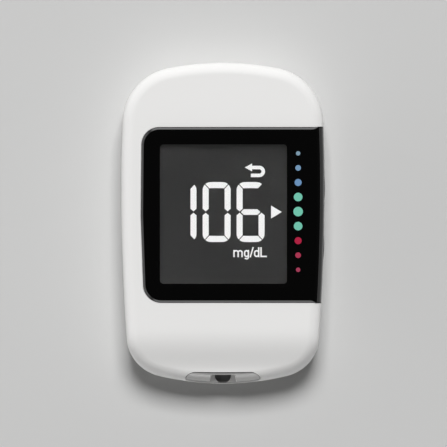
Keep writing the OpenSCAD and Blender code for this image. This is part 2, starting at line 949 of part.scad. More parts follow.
module usb_socket() {
  color([0.78, 0.78, 0.8])
    difference() {
      translate([0, usb_y, board_top + usb_h / 2])
        rotate([90, 0, 0]) linear_extrude(usb_l) stadium(usb_w, usb_h);
      translate([0, usb_y + 1, board_top + usb_h / 2])
        rotate([90, 0, 0])
          linear_extrude(usb_l + 1 - usb_wall) stadium(usb_w - 2 * usb_wall, usb_h - 2 * usb_wall);
    }
}

module usb_tongue() {
  color([0.1, 0.1, 0.1])
    translate([-usb_w / 2 + usb_tongue_in, usb_y - usb_l + usb_wall, board_top + (usb_h - usb_tongue_t) / 2])
      cube([usb_w - 2 * usb_tongue_in, usb_l - usb_wall - 1, usb_tongue_t]);
}

// ---------------------------------------------------------------- rear cover

module cell_wells(r, low_z, top_z) {
  for (s = [-1, 1]) pole([s * cell_x, cell_y], r, low_z, top_z);
}

module rear_cover() {
  bay_x = door_w / 2 + bay_side;
  track_ys = [scoop_y - scoop_l / 2 - track_end, scoop_y + scoop_l / 2 + track_end];
  color([0.93, 0.93, 0.92])
    difference() {
      union() {
        difference() {
          back_solid(0, 0, part_z);
          back_solid(wall, wall, part_z + 1);
        }
        lip(0);
        block([-bay_x, bay_x], [door_low - bay_end, door_top + bay_end], [wall / 2, door_t + bay_ledge_t]);
        cell_wells(well_r + well_wall, wall / 2, roof_z + roof_t);
        for (p = case_screw_places) pole(p, case_boss_r, wall / 2, boss_z);
        block([-track_w / 2, track_w / 2], track_ys, [wall / 2, track_z]);
        ejector_rails();
      }
      translate([0, 0, -1]) linear_extrude(door_t + 1 + door_seat) door_form(door_gap);
      cell_wells(well_r, -1, roof_z);
      centred(link_bay_w, link_bay_l, -1, roof_z, cell_y);
      for (s = [-1, 1]) {
        hook_xs = [s * hook_x - hook_w / 2 - hook_gap, s * hook_x + hook_w / 2 + hook_gap];
        block(hook_xs, [door_top - hook_swing, door_top + door_gap], [door_t, door_t + hook_room]);
        block(
          hook_xs, [door_top - hook_swing, door_top + hook_out + 2 * hook_gap], [wall, door_t + hook_room]
        );
      }
      block(
        [-latch_w / 2 - latch_gap, latch_w / 2 + latch_gap],
        [door_low - door_gap, door_low + latch_t + 1.5 * latch_gap], [-1, door_t + latch_h + latch_gap]
      );
      translate([0, door_low - door_gap, nail_z]) intersection() {
        cylinder(r = nail_r, h = big, center = true);
        block([-big, big], [-nail_depth, 1], [-big, 0]);
      }
      for (x = [-tail_x, tail_x])
        translate([x, cell_y, roof_z + 1]) cube([3 * contact_t, blade_w + 2 * contact_t, 6], center = true);
      translate([cell_x + cell_d / 2 + fit, cell_y, roof_z])
        cube([2.5 * contact_t, blade_w + 2 * contact_t, 8], center = true);
      for (p = case_screw_places) {
        pole(p, case_head_r + head_gap, -1, case_seat_z);
        pole(p, case_screw_r + head_gap, 0, big);
      }
      translate([0, scoop_y, -1]) linear_extrude(scoop_depth + 1) rotate(90) stadium(scoop_l, scoop_w);
      block(
        [-stem_w / 2 - stem_gap, stem_w / 2 + stem_gap],
        [slide_y - stem_l / 2 - eject_travel - 2 * stem_gap, slide_y + stem_l / 2 + stem_gap],
        [0, track_z + 1]
      );
    }
}

// Hooked rails that hold the ejector slide down, and the stop of its spring
module ejector_rails() {
  low_y = slide_y - slide_l / 2 - eject_travel - 2 * eject_gap;
  hook_z = track_z + eject_gap + slide_t + eject_gap;
  rail_x = slide_w / 2 + eject_gap;
  right_y = arm_y - eject_travel - 2 * finger_gap;
  for (s = [-1, 1]) {
    high_y = s < 0 ? slide_y + slide_l / 2 : right_y;
    xs = s < 0 ? [-rail_x - rail_t, -rail_x] : [rail_x, rail_x + rail_t];
    lips = s < 0 ? [-rail_x - rail_t, -rail_x + rail_lip] : [rail_x - rail_lip, rail_x + rail_t];
    block(xs, [low_y, high_y], [track_z - eps, hook_z + rail_top]);
    block(lips, [low_y, high_y], [hook_z, hook_z + rail_top]);
  }
  block(
    [spring_x - spring_d / 2 - spring_rim, spring_x + spring_d / 2 + spring_rim],
    [arm_y - spring_l - stop_t, arm_y - spring_l - spring_end], [track_z - eps, spring_z + spring_d / 2]
  );
}

// ---------------------------------------------------------------- ejector

module strip_ejector() {
  slide_ys = [slide_y - slide_l / 2, slide_y + slide_l / 2];
  slide_z = track_z + eject_gap;
  color([0.9, 0.9, 0.88]) {
    translate([0, slide_y, pad_low + pad_rib])
      linear_extrude(scoop_depth - eject_gap - pad_low - pad_rib) rotate(90) stadium(pad_l, pad_w);
    for (i = [-2:2])
      centred(0.55 * pad_w, pad_rib_pitch / 2, pad_low, pad_low + pad_rib + eps, slide_y + pad_rib_pitch * i);
    centred(stem_w, stem_l, scoop_depth - eject_gap - eps, slide_z + eps, slide_y);
    block([-slide_w / 2, slide_w / 2], slide_ys, [slide_z, slide_z + slide_t]);
    block([0, spring_x + spring_d / 2], [arm_y, arm_y + arm_t], [slide_z, spring_z + spring_d / 2]);
    centred(finger_w, finger_t, slide_z, strip_z + slot_h - stem_gap, finger_y);
  }
}

// A coil along y, swept as one tube
module ejector_spring() {
  sides = 6;
  per_turn = 12;
  last = spring_turns * per_turn;
  coil_r = (spring_d - spring_wire) / 2;
  run = spring_l - spring_wire - 2 * spring_end;
  wire_points = [
    for (i = [0:last], k = [0:sides - 1])
      let (a = 360 * i / per_turn, b = 360 * k / sides, r = coil_r + spring_wire / 2 * cos(b))
      [r * cos(a), run * i / last + spring_wire / 2 * sin(b), r * sin(a)]
  ];
  color([0.7, 0.7, 0.72])
    translate([spring_x, arm_y - spring_l + spring_wire / 2 + spring_end, spring_z])
      polyhedron(
        points = wire_points,
        faces = concat(
          [[for (k = [0:sides - 1]) k]],
          [for (i = [0:last - 1], k = [0:sides - 1])
            let (a = i * sides, b = a + sides, next = (k + 1) % sides) [a + k, b + k, b + next, a + next]],
          [[for (k = [0:sides - 1]) last * sides + sides - 1 - k]]
        )
      );
}

// ---------------------------------------------------------------- batteries

module door_form(grow) {
  translate([0, (door_low + door_top) / 2])
    rounded(door_w + 2 * grow, door_top - door_low + 2 * grow, door_r + grow);
}

module battery_door() {
  grip_l = 9;
  grip_w = 0.6;
  grip_in = 1.6;
  grip_depth = 0.3;
  hook_low = wall + 0.25;
  color([0.93, 0.93, 0.92]) {
    difference() {
      linear_extrude(door_t) door_form(0);
      for (i = [0:3])
        centred(grip_l, grip_w, -1, grip_depth, door_low + grip_in + (2 * i + 0.5) * grip_w);
    }
    for (s = [-1, 1]) {
      block(
        [s * hook_x - hook_w / 2, s * hook_x + hook_w / 2], [door_top - hook_t + fit, door_top],
        [door_t - eps, hook_low + hook_t]
      );
      block(
        [s * hook_x - hook_w / 2, s * hook_x + hook_w / 2], [door_top - hook_t + fit, door_top + hook_out],
        [hook_low, hook_low + hook_t]
      );
    }
    block([-latch_w / 2, latch_w / 2], [door_low, door_low + latch_t], [door_t - eps, door_t + latch_h]);
  }
}

module battery_cell(s) {
  rim = 0.3;
  step = 1.1;
  color([0.78, 0.79, 0.8]) {
    pole([s * cell_x, cell_y], cell_d / 2, cell_z, cell_z + cell_t - rim);
    pole([s * cell_x, cell_y], cell_d / 2 - step, cell_z, cell_z + cell_t);
  }
}

module battery_cell_left() { battery_cell(-1); }
module battery_cell_right() { battery_cell(1); }

// A strip of contact metal, as wide as all of them
module blade(x, z) {
  color([0.85, 0.75, 0.5]) block(x, [cell_y - blade_w / 2, cell_y + blade_w / 2], z);
}

module battery_contact_negative() {
  left_x = -tail_x - contact_t / 2;
  blade([left_x, left_x + blade_l], [roof_z - contact_t, roof_z]);
  blade([left_x, left_x + contact_t], [roof_z - contact_t, board_z]);
}

module battery_contact_link() {
  rim_x = -cell_x + cell_d / 2 + rim_gap;
  blade([rim_x, cell_x + blade_w], [roof_z - contact_t, roof_z]);
  blade([rim_x, rim_x + contact_t], [cell_z + contact_t, roof_z]);
}

module battery_contact_positive() {
  rim_x = cell_x + cell_d / 2 + rim_gap;
  blade([rim_x, rim_x + contact_t], [cell_z + contact_t, board_z]);
}

// ---------------------------------------------------------------- screws

module screw(at, head_z, head_r, head_h, shank_r, length) {
  difference() {
    pole(at, head_r, head_z - head_h, head_z);
    translate([at[0], at[1], head_z - head_h]) {
      cube([head_r * 1.2, head_r * 0.3, head_h], center = true);
      cube([head_r * 0.3, head_r * 1.2, head_h], center = true);
    }
  }
  pole(at, shank_r, head_z - eps, head_z + length);
}

module case_screws() {
  color([0.6, 0.6, 0.62])
    for (p = case_screw_places) screw(p, case_seat_z, case_head_r, case_head_h, case_screw_r, case_screw_l);
}

module board_screws() {
  color([0.6, 0.6, 0.62])
    for (p = board_screw_places) screw(p, board_z, board_head_r, board_head_h, board_screw_r, board_screw_l);
}

// ---------------------------------------------------------------- nodes

front_cover();
rear_cover();
display_window();
window_tape();
window_mask();
side_panel();
up_button();
down_button();
up_switch();
down_switch();
up_switch_nib();
down_switch_nib();
lcd_gasket();
lcd_polariser();
lcd_glass();
lcd_light_guide();
lcd_holder();
lcd_connector();
backlight_led();
circuit_board();
main_chip();
radio_module();
crystal();
board_capacitors();
strip_connector();
strip_contacts();
strip_port_bezel();
slot_led();
strip_ejector();
ejector_spring();
usb_socket();
usb_tongue();
battery_door();
battery_cell_left();
battery_cell_right();
battery_contact_negative();
battery_contact_link();
battery_contact_positive();
case_screws();
board_screws();
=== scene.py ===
import bpy
import bmesh
import math
from mathutils import Matrix, Vector


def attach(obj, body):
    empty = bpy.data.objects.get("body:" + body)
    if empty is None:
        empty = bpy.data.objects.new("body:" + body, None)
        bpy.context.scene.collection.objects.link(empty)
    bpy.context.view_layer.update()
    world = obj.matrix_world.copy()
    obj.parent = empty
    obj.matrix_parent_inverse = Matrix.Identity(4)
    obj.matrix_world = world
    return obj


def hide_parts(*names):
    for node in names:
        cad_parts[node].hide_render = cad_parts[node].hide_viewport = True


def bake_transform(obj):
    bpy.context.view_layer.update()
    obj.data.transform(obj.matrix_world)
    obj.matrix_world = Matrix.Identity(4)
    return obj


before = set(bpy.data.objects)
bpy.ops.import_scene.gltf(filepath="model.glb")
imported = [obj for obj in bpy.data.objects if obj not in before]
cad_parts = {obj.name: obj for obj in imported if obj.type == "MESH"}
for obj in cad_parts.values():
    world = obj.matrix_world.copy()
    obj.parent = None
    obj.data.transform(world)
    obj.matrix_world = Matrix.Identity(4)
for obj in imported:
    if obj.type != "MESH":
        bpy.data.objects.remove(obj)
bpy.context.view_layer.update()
scene = bpy.context.scene
mm = 0.001
print("frame loaded")


def addObject(name, data):
    thing = bpy.data.objects.new(name, data)
    scene.collection.objects.link(thing)
    return thing


# camera, straight above the meter

cameraSet = dict(lens=600, sensor=36, across=107.37 * mm, planeZ=6.2 * mm, x=0.144 * mm, y=-0.084 * mm,
                 clip=(0.1, 20))

camera = addObject("camera", bpy.data.cameras.new("camera"))
camera.data.lens = cameraSet["lens"]
camera.data.sensor_width = cameraSet["sensor"]
distance = cameraSet["across"] * cameraSet["lens"] / cameraSet["sensor"]
camera.location = (cameraSet["x"], cameraSet["y"], cameraSet["planeZ"] + distance)
camera.data.clip_start, camera.data.clip_end = cameraSet["clip"]
scene.camera = camera
scene.view_settings.view_transform = "Standard"


# shader helpers

def link(tree, source, target):
    tree.links.new(source, target)


# a node with its settings and inputs; an input is a value or the output of another node
def addNode(tree, kind, inputs, **settings):
    node = tree.nodes.new("ShaderNode" + kind)
    for name, value in settings.items():
        setattr(node, name, value)
    for key, value in inputs.items():
        if isinstance(value, bpy.types.NodeSocket):
            link(tree, value, node.inputs[key])
        else:
            node.inputs[key].default_value = value
    return node


def mathNode(tree, operation, *values):
    return addNode(tree, "Math", dict(enumerate(values)), operation=operation).outputs[0]


def rangeNode(tree, value, start, end, low=0.0, high=1.0):
    inputs = dict(enumerate((value, start, end, low, high)))
    return addNode(tree, "MapRange", inputs, interpolation_type="SMOOTHSTEP").outputs[0]


# a node group with its inputs and the three outputs that a surface takes
def openGroup(name, inputs):
    tree = bpy.data.node_groups.new(name, "ShaderNodeTree")
    for label, kind, value in inputs:
        socket = tree.interface.new_socket(name=label, in_out="INPUT", socket_type="NodeSocket" + kind)
        socket.default_value = value
    for label, kind in (("Color", "Color"), ("Roughness", "Float"), ("Normal", "Vector")):
        tree.interface.new_socket(name=label, in_out="OUTPUT", socket_type="NodeSocket" + kind)
    return tree, tree.nodes.new("NodeGroupInput").outputs, tree.nodes.new("NodeGroupOutput").inputs


# reach of the bump, then the noises: slow changes, fine grain and metal lines; sizes count features per metre
grainForm = dict(bumpReach=0.02 * mm, slowSize=45, slowDetail=4, grainDetail=3, lineSize=900, lineDetail=2,
                 lineShade=0.15)


# the bump and the three links that end a group
def closeGroup(tree, leave, color, gloss, depth, height):
    bump = addNode(tree, "Bump", {"Distance": grainForm["bumpReach"], "Strength": depth, "Height": height})
    for name, source in (("Color", color), ("Roughness", gloss), ("Normal", bump.outputs["Normal"])):
        link(tree, source, leave[name])


# moulded surface: fine grain for the bump and slow changes in tone and gloss
def buildMouldedGroup():
    form = grainForm
    tree, entry, leave = openGroup("mouldedSurface", [
        ("Color", "Color", (0.8, 0.8, 0.8, 1)), ("Grain Size", "Float", 2500.0),
        ("Grain Depth", "Float", 0.05), ("Gloss", "Float", 0.3), ("Gloss Change", "Float", 0.05),
        ("Tone Change", "Float", 0.02)])
    place = addNode(tree, "TexCoord", {}).outputs["Object"]
    grain = addNode(tree, "TexNoise", {"Vector": place, "Scale": entry["Grain Size"],
                                       "Detail": form["grainDetail"]})
    slow = addNode(tree, "TexNoise", {"Vector": place, "Scale": form["slowSize"],
                                      "Detail": form["slowDetail"]})
    centred = mathNode(tree, "SUBTRACT", slow.outputs["Fac"], 0.5)
    gloss = mathNode(tree, "MULTIPLY_ADD", centred, entry["Gloss Change"], entry["Gloss"])
    tone = mathNode(tree, "MULTIPLY_ADD", centred, entry["Tone Change"], 1.0)
    shade = addNode(tree, "VectorMath", {0: entry["Color"], "Scale": tone}, operation="SCALE")
    closeGroup(tree, leave, shade.outputs[0], gloss, entry["Grain Depth"], grain.outputs["Fac"])
    return tree


# brushed or rolled metal: fine lines along one direction
def buildBrushedGroup():
    form = grainForm
    tree, entry, leave = openGroup("brushedSurface", [
        ("Color", "Color", (0.6, 0.6, 0.6, 1)), ("Stretch", "Vector", (1, 1, 1)), ("Gloss", "Float", 0.3),
        ("Gloss Change", "Float", 0.15), ("Line Depth", "Float", 0.1)])
    place = addNode(tree, "TexCoord", {}).outputs["Object"]
    stretch = addNode(tree, "VectorMath", {0: place, 1: entry["Stretch"]}, operation="MULTIPLY")
    lines = addNode(tree, "TexNoise", {"Vector": stretch.outputs[0], "Scale": form["lineSize"],
                                       "Detail": form["lineDetail"]})
    gloss = mathNode(tree, "MULTIPLY_ADD", lines.outputs["Fac"], entry["Gloss Change"], entry["Gloss"])
    inputs = {"Factor": form["lineShade"], "A": entry["Color"], "B": lines.outputs["Color"]}
    shade = addNode(tree, "Mix", inputs, data_type="RGBA", blend_type="MULTIPLY")
    closeGroup(tree, leave, shade.outputs["Result"], gloss, entry["Line Depth"], lines.outputs["Fac"])
    return tree


mouldedGroup = buildMouldedGroup()
brushedGroup = buildBrushedGroup()
shaderSockets = dict(color="Base Color", rough="Roughness", metal="Metallic", ior="IOR", coat="Coat Weight",
                     coatRough="Coat Roughness", clear="Transmission Weight", glowColor="Emission Color",
                     glow="Emission Strength", specular="Specular IOR Level")


# a material with its even values on the shader's own sockets
def newMaterial(name, **values):
    material = bpy.data.materials.new(name)
    material.use_nodes = True
    shader = material.node_tree.nodes["Principled BSDF"]
    for key, value in values.items():
        shader.inputs[shaderSockets[key]].default_value = (*value, 1) if isinstance(value, tuple) else value
    return material, material.node_tree, shader


# places a group and links only what changes over the surface
def useGroup(tree, shader, group, changing, values):
    node = addNode(tree, "Group", {}, node_tree=group)
    for name, value in values.items():
        node.inputs[name].default_value = value
    for name, socket in (("Color", "Base Color"), ("Roughness", "Roughness"), ("Normal", "Normal")):
        if name in changing:
            link(tree, node.outputs[name], shader.inputs[socket])


def moulded(name, color, gloss, grainSize=2500.0, grainDepth=0.05, glossChange=0.05, toneChange=0.02,
            **plain):
    material, tree, shader = newMaterial(name, color=color, rough=gloss, **plain)
    changes = dict(Color=toneChange, Roughness=glossChange, Normal=grainDepth)
    useGroup(tree, shader, mouldedGroup, [key for key, value in changes.items() if value],
             {"Color": (*color, 1), "Grain Size": grainSize, "Grain Depth": grainDepth, "Gloss": gloss,
              "Gloss Change": glossChange, "Tone Change": toneChange})
    return material


def brushed(name, color, gloss, stretch=(1, 12, 1), glossChange=0.15, lineDepth=0.1):
    material, tree, shader = newMaterial(name, metal=1.0)
    useGroup(tree, shader, brushedGroup, ["Color", "Roughness", "Normal"],
             {"Color": (*color, 1), "Stretch": stretch, "Gloss": gloss, "Gloss Change": glossChange,
              "Line Depth": lineDepth})
    return material


# color, gloss, grain size, grain depth, change in gloss, change in tone
finish = dict(
    shellWhite=moulded("shellWhite", (0.885, 0.88, 0.87), 0.55, 3200.0, 0.04, 0.06, 0.012, specular=0.2),
    sliderGrey=moulded("sliderGrey", (0.60, 0.61, 0.62), 0.42, 2200.0, 0.10),
    lensBlack=moulded("lensBlack", (0.0012, 0.0012, 0.0012), 0.045, 1500.0, 0.0, 0.015, 0.0, ior=1.52),
    clearPlastic=moulded("clearPlastic", (1, 1, 1), 0.0, 1500.0, 0.0, 0.004, 0.0, ior=1.49, clear=1.0),
    panelBlack=moulded("panelBlack", (0.006, 0.006, 0.0065), 0.32, 1500.0, 0.02, 0.04, 0.0),
    keyBlack=moulded("keyBlack", (0.022, 0.022, 0.024), 0.42, 2600.0, 0.12, 0.08, 0.05),
    keyMark=moulded("keyMark", (0.55, 0.56, 0.57), 0.5, 2600.0, 0.05),
    foamBlack=moulded("foamBlack", (0.02, 0.02, 0.021), 0.9, 5000.0, 0.6),
    filmBlack=moulded("filmBlack", (0.004, 0.004, 0.004), 0.6, 4000.0, 0.05),
    plasticNatural=moulded("plasticNatural", (0.72, 0.70, 0.63), 0.45, 1800.0, 0.08),
    switchGrey=moulded("switchGrey", (0.45, 0.45, 0.43), 0.4, 1800.0, 0.1),
    siliconePink=moulded("siliconePink", (0.70, 0.46, 0.36), 0.6, 3000.0, 0.1),
    boardGreen=moulded("boardGreen", (0.018, 0.11, 0.045), 0.3, 900.0, 0.15, 0.1, 0.2),
    chipBlack=moulded("chipBlack", (0.018, 0.018, 0.019), 0.55, 5000.0, 0.3),
    capacitorTan=moulded("capacitorTan", (0.42, 0.29, 0.17), 0.5, 4000.0, 0.2),
    lampYellow=moulded("lampYellow", (0.85, 0.78, 0.42), 0.25, 2000.0, 0.02),
    guideClear=moulded("guideClear", (0.82, 0.85, 0.87), 0.1, 2000.0, 0.0),
    cellGlass=moulded("cellGlass", (0.10, 0.11, 0.11), 0.08, 2000.0, 0.0),
    steel=brushed("steel", (0.62, 0.61, 0.60), 0.22),
    cellSteel=brushed("cellSteel", (0.66, 0.65, 0.63), 0.20, (6, 6, 1)),
    contactGold=brushed("contactGold", (0.83, 0.60, 0.27), 0.2),
    # the port insert: metallic paint; a ledge painted lighter as painted light, a hollow painted darker as
    # painted shade and a dark seam round it painted as the shadow of its recess
    portPaint=moulded("portPaint", (0.52, 0.515, 0.51), 0.32, 6000.0, 0.12, 0.1, 0.25, metal=0.3, coat=0.25,
                      coatRough=0.15),
    portLedgePaintedLight=moulded("portLedgePaintedLight", (0.88, 0.87, 0.86), 0.4, 6000.0, 0.08, 0.1, 0.1),
    portHollowPaintedShade=moulded("portHollowPaintedShade", (0.30, 0.297, 0.30), 0.35, 6000.0, 0.1, 0.1, 0.2),
    portRimPaintedShadow=moulded("portRimPaintedShadow", (0.035, 0.035, 0.036), 0.6, 6000.0, 0.1, 0.1, 0.2),
    # the display lights itself: a dark field and white shapes
    displayField=moulded("displayField", (0.008, 0.008, 0.008), 0.5, 3000.0, 0.02, 0.05, 0.1,
                         glowColor=(0.0131, 0.0134, 0.0131), glow=1.0),
    displaySign=moulded("displaySign", (0.06, 0.06, 0.06), 0.5, 3000.0, 0.0, 0.05, 0.1,
                        glowColor=(0.90, 0.905, 0.90), glow=1.0))
print("materials ready")


# mesh helpers

mergeGap = 0.001 * mm
ringGap = 0.002 * mm
copySet = dict(flatAngle=0.5, easeSteps=3, easeAngle=50)


def vertsOf(geom):
    return [g for g in geom if isinstance(g, bmesh.types.BMVert)]


def edgesOf(geom):
    return [g for g in geom if isinstance(g, bmesh.types.BMEdge)]


def pullFaces(bm, faces, vector):
    pulled = bmesh.ops.extrude_face_region(bm, geom=faces)["geom"]
    bmesh.ops.translate(bm, verts=vertsOf(pulled), vec=vector)
    return pulled


def mergeAndFace(bm):
    bmesh.ops.remove_doubles(bm, verts=bm.verts, dist=mergeGap)
    bmesh.ops.recalc_face_normals(bm, faces=bm.faces)


def markSmooth(bm, sharpAngle):
    for edge in bm.edges:
        edge.smooth = len(edge.link_faces) == 2 and edge.calc_face_angle(0) < math.radians(sharpAngle)


def meshFrom(bm, name):
    mesh = bpy.data.meshes.new(name)
    bm.to_mesh(mesh)
    bm.free()
    return mesh


def addWeights(piece):
    modifier = piece.modifiers.new("weights", "WEIGHTED_NORMAL")
    modifier.keep_sharp = True
    modifier.weight = 70


def objectFrom(bm, name, body, material, replaced=(), sharpAngle=34, weighted=True, clean=True):
    if clean:
        mergeAndFace(bm)
    markSmooth(bm, sharpAngle)
    for face in bm.faces:
        face.smooth = True
    piece = addObject(name, meshFrom(bm, name))
    for item in material if isinstance(material, list) else [material]:
        piece.data.materials.append(item)
    if weighted:
        addWeights(piece)
    if body:
        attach(piece, body)
    if replaced:
        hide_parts(*replaced)
    return piece


# a merged, smoothly shaded copy of a CAD node, with its sharp edges eased by a small round
def smoothCopy(node, name, body, material, sharpAngle=34, ease=0.0):
    bm = bmesh.new()
    bm.from_mesh(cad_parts[node].data)
    bmesh.ops.remove_doubles(bm, verts=bm.verts, dist=mergeGap)
    bmesh.ops.dissolve_limit(bm, angle_limit=math.radians(copySet["flatAngle"]), verts=bm.verts,
                              edges=bm.edges)
    piece = objectFrom(bm, name, body, material, [node], sharpAngle, weighted=False, clean=False)
    if ease:
        modifier = piece.modifiers.new("ease", "BEVEL")
        modifier.width = ease
        modifier.segments = copySet["easeSteps"]
        modifier.limit_method = "ANGLE"
        modifier.angle_limit = math.radians(copySet["easeAngle"])
        modifier.miter_outer = "MITER_ARC"
    addWeights(piece)
    return piece


def toolFrom(bm):
    mergeAndFace(bm)
    return addObject("tool", meshFrom(bm, "tool"))


# cuts a solid with tools, or joins or crosses it with them; all of them are used up
def cutWith(piece, tools, operation="DIFFERENCE"):
    for tool in tools:
        modifier = piece.modifiers.new("cut", "BOOLEAN")
        modifier.operation = operation
        modifier.solver = "EXACT"
        modifier.object = tool
    bpy.context.view_layer.update()
    shaped = bpy.data.meshes.new_from_object(piece.evaluated_get(bpy.context.evaluated_depsgraph_get()))
    for used in [*tools, piece]:
        bpy.data.objects.remove(used)
    bm = bmesh.new()
    bm.from_mesh(shaped)
    return bm


def blockTool(*blocks):
    bm = bmesh.new()
    for block in blocks:
        low, high = Vector([span[0] for span in block]), Vector([span[1] for span in block])
        bmesh.ops.create_cube(bm, size=1, matrix=Matrix.Translation((low + high) / 2) @
                              Matrix.Diagonal((*(high - low), 1)))
    return toolFrom(bm)


def roundCorners(bm, corners, radius, segments):
    bmesh.ops.bevel(bm, geom=corners, affect="VERTICES", offset=radius, segments=segments, profile=0.5,
                    material=-1)


# splits a shape along a plane, and can clear away what lies behind it
def splitAlong(bm, point, normal, dist, clear=False):
    bmesh.ops.bisect_plane(bm, geom=bm.verts[:] + bm.edges[:] + bm.faces[:], dist=dist, plane_co=point,
                           plane_no=normal, clear_inner=clear)


# a rounded rectangle pulled up into a plate
def addPlate(bm, x, y, z, radius, segments=10):
    places = ((x[0], y[0]), (x[1], y[0]), (x[1], y[1]), (x[0], y[1]))
    corners = [bm.verts.new((*place, z[0])) for place in places]
    bm.faces.new(corners)
    roundCorners(bm, corners, radius, segments)
    pullFaces(bm, bm.faces[:], (0, 0, z[1] - z[0]))


# case outline, from tangent arcs

caseForm = dict(width=48.84 * mm, length=77.1 * mm, widestY=9 * mm, topEnd=65.8 * mm, topSide=386 * mm,
                topCorner=13.4 * mm, lowEnd=66.3 * mm, lowSide=519 * mm, lowCorner=10.06 * mm, partZ=6.2 * mm,
                frontZ=14.9 * mm, wall=1.6 * mm, draft=0.15 * mm, edgeWidth=2.8 * mm, edgeHeight=2.6 * mm,
                noseEdgeHeight=5 * mm, chinY=-24.7 * mm, chinDrop=3.2 * mm, chinLength=11.3 * mm,
                chinReach=1.15, chinCuts=24, endSteps=12, cornerSteps=24, sideSteps=14, edgeSteps=12)


# the meeting point of two circles that lies further right
def circlesMeet(p, r, q, s):
    gap = (q - p).length
    along = (q - p) / gap
    reach = (gap * gap + r * r - s * s) / (2 * gap)
    height = math.sqrt(r * r - reach * reach)
    across = Vector((along.y, -along.x))
    foot = p + along * reach
    return max((foot + across * height, foot - across * height), key=lambda point: point.x)


def spinFrom(bm, vert, centre, angle, steps):
    made = bmesh.ops.spin(bm, geom=[vert], cent=(centre.x, centre.y, vert.co.z), axis=(0, 0, 1),
                          dvec=(0, 0, 0), angle=angle, steps=steps, use_merge=False)
    return vertsOf(made["geom_last"])[0]


# one closed ring of the outline, inset and at a height
def outlineRing(bm, inset, z):
    form = caseForm
    before = set(bm.verts)
    for sign, endR, sideR, cornerR in ((1, form["topEnd"], form["topSide"], form["topCorner"]),
                                       (-1, form["lowEnd"], form["lowSide"], form["lowCorner"])):
        endC = Vector((0, sign * (form["length"] / 2 - endR)))
        sideC = Vector((form["width"] / 2 - sideR, form["widestY"]))
        cornerC = circlesMeet(endC, endR - cornerR, sideC, sideR - cornerR)
        toEnd, toSide = cornerC - endC, cornerC - sideC
        endA = math.atan2(toEnd.y, toEnd.x)
        sideA = math.atan2(toSide.y, toSide.x)
        vert = bm.verts.new((0, endC.y + sign * (endR - inset), z))
        vert = spinFrom(bm, vert, endC, endA - sign * math.pi / 2, form["endSteps"])
        vert = spinFrom(bm, vert, cornerC, sideA - endA, form["cornerSteps"])
        spinFrom(bm, vert, sideC, -sideA, form["sideSteps"])
    bmesh.ops.remove_doubles(bm, verts=[v for v in bm.verts if v not in before], dist=ringGap)
    half = [v for v in bm.verts if v not in before]
    edges = {e for v in half for e in v.link_edges}
    bmesh.ops.mirror(bm, geom=half + list(edges), matrix=Matrix.Identity(4), merge_dist=ringGap, axis="X")
    return list({e for v in bm.verts if v not in before for e in v.link_edges})


# how far the chin has fallen at y, from 0 to 1
def chinFall(y):
    u = min(1.0, max(0.0, (caseForm["chinY"] - y) / caseForm["chinLength"]))
    return 4 * u ** 3 - 3 * u ** 4


# the front half of the case as a solid: rings that rise, a cap, then the chin pulled down
def frontForm(inset, depth, lowZ):
    form = caseForm
    bm = bmesh.new()
    top = form["frontZ"] - depth
    edge = form["edgeHeight"] - depth
    rings = [(inset, lowZ)]
    for k in range(form["edgeSteps"] + 1):
        angle = math.pi / 2 * k / form["edgeSteps"]
        rings.append((inset + form["draft"] + (form["edgeWidth"] - inset) * (1 - math.cos(angle)),
                      top - edge * (1 - math.sin(angle))))
    loops = [outlineRing(bm, *ring) for ring in rings]
    for low, high in zip(loops, loops[1:]):
        bmesh.ops.bridge_loops(bm, edges=low + high)
    bmesh.ops.contextual_create(bm, geom=loops[0])
    bmesh.ops.contextual_create(bm, geom=loops[-1])
    for k in range(form["chinCuts"] + 1):
        y = form["chinY"] - form["chinLength"] * form["chinReach"] * k / form["chinCuts"]
        splitAlong(bm, (0, y, 0), (0, 1, 0), 1e-7)
    for vert in bm.verts:
        fall = chinFall(vert.co.y)
        frontZ = form["frontZ"] - form["chinDrop"] * fall
        edgeZ = form["edgeHeight"] + (form["noseEdgeHeight"] - form["edgeHeight"]) * fall
        if vert.co.z > top - edge:
            vert.co.z = frontZ - depth - (edgeZ - depth) * (top - vert.co.z) / edge
        else:
            vert.co.z = lowZ + (vert.co.z - lowZ) * (frontZ - edgeZ - lowZ) / (top - edge - lowZ)
    return toolFrom(bm)


def outlinePrism(inset, lowZ, highZ):
    bm = bmesh.new()
    low, high = outlineRing(bm, inset, lowZ), outlineRing(bm, inset, highZ)
    bmesh.ops.bridge_loops(bm, edges=low + high)
    bmesh.ops.contextual_create(bm, geom=low)
    bmesh.ops.contextual_create(bm, geom=high)
    return toolFrom(bm)


def sideX(y):
    radius = caseForm["topSide"] if y > caseForm["widestY"] else caseForm["lowSide"]
    return caseForm["width"] / 2 - radius + math.sqrt(radius ** 2 - (y - caseForm["widestY"]) ** 2)


# display window

windowForm = dict(top=22.9 * mm, low=-19.0 * mm, margin=4.75 * mm, radius=4.2 * mm, radiusSteps=14,
                  rise=0.35 * mm, bevel=0.5 * mm, bevelDrop=0.4 * mm, thick=1.0 * mm, skirt=1.4 * mm,
                  skirtZ=12.3 * mm, viewX=(-15.05 * mm, 15.35 * mm), viewY=(-14.48 * mm, 18.81 * mm),
                  viewRadius=0.85 * mm, joint=0.02 * mm, wide=(-40 * mm, 40 * mm), lowZ=10 * mm,
                  highZ=20 * mm, holeZ=(0.0, 30 * mm))


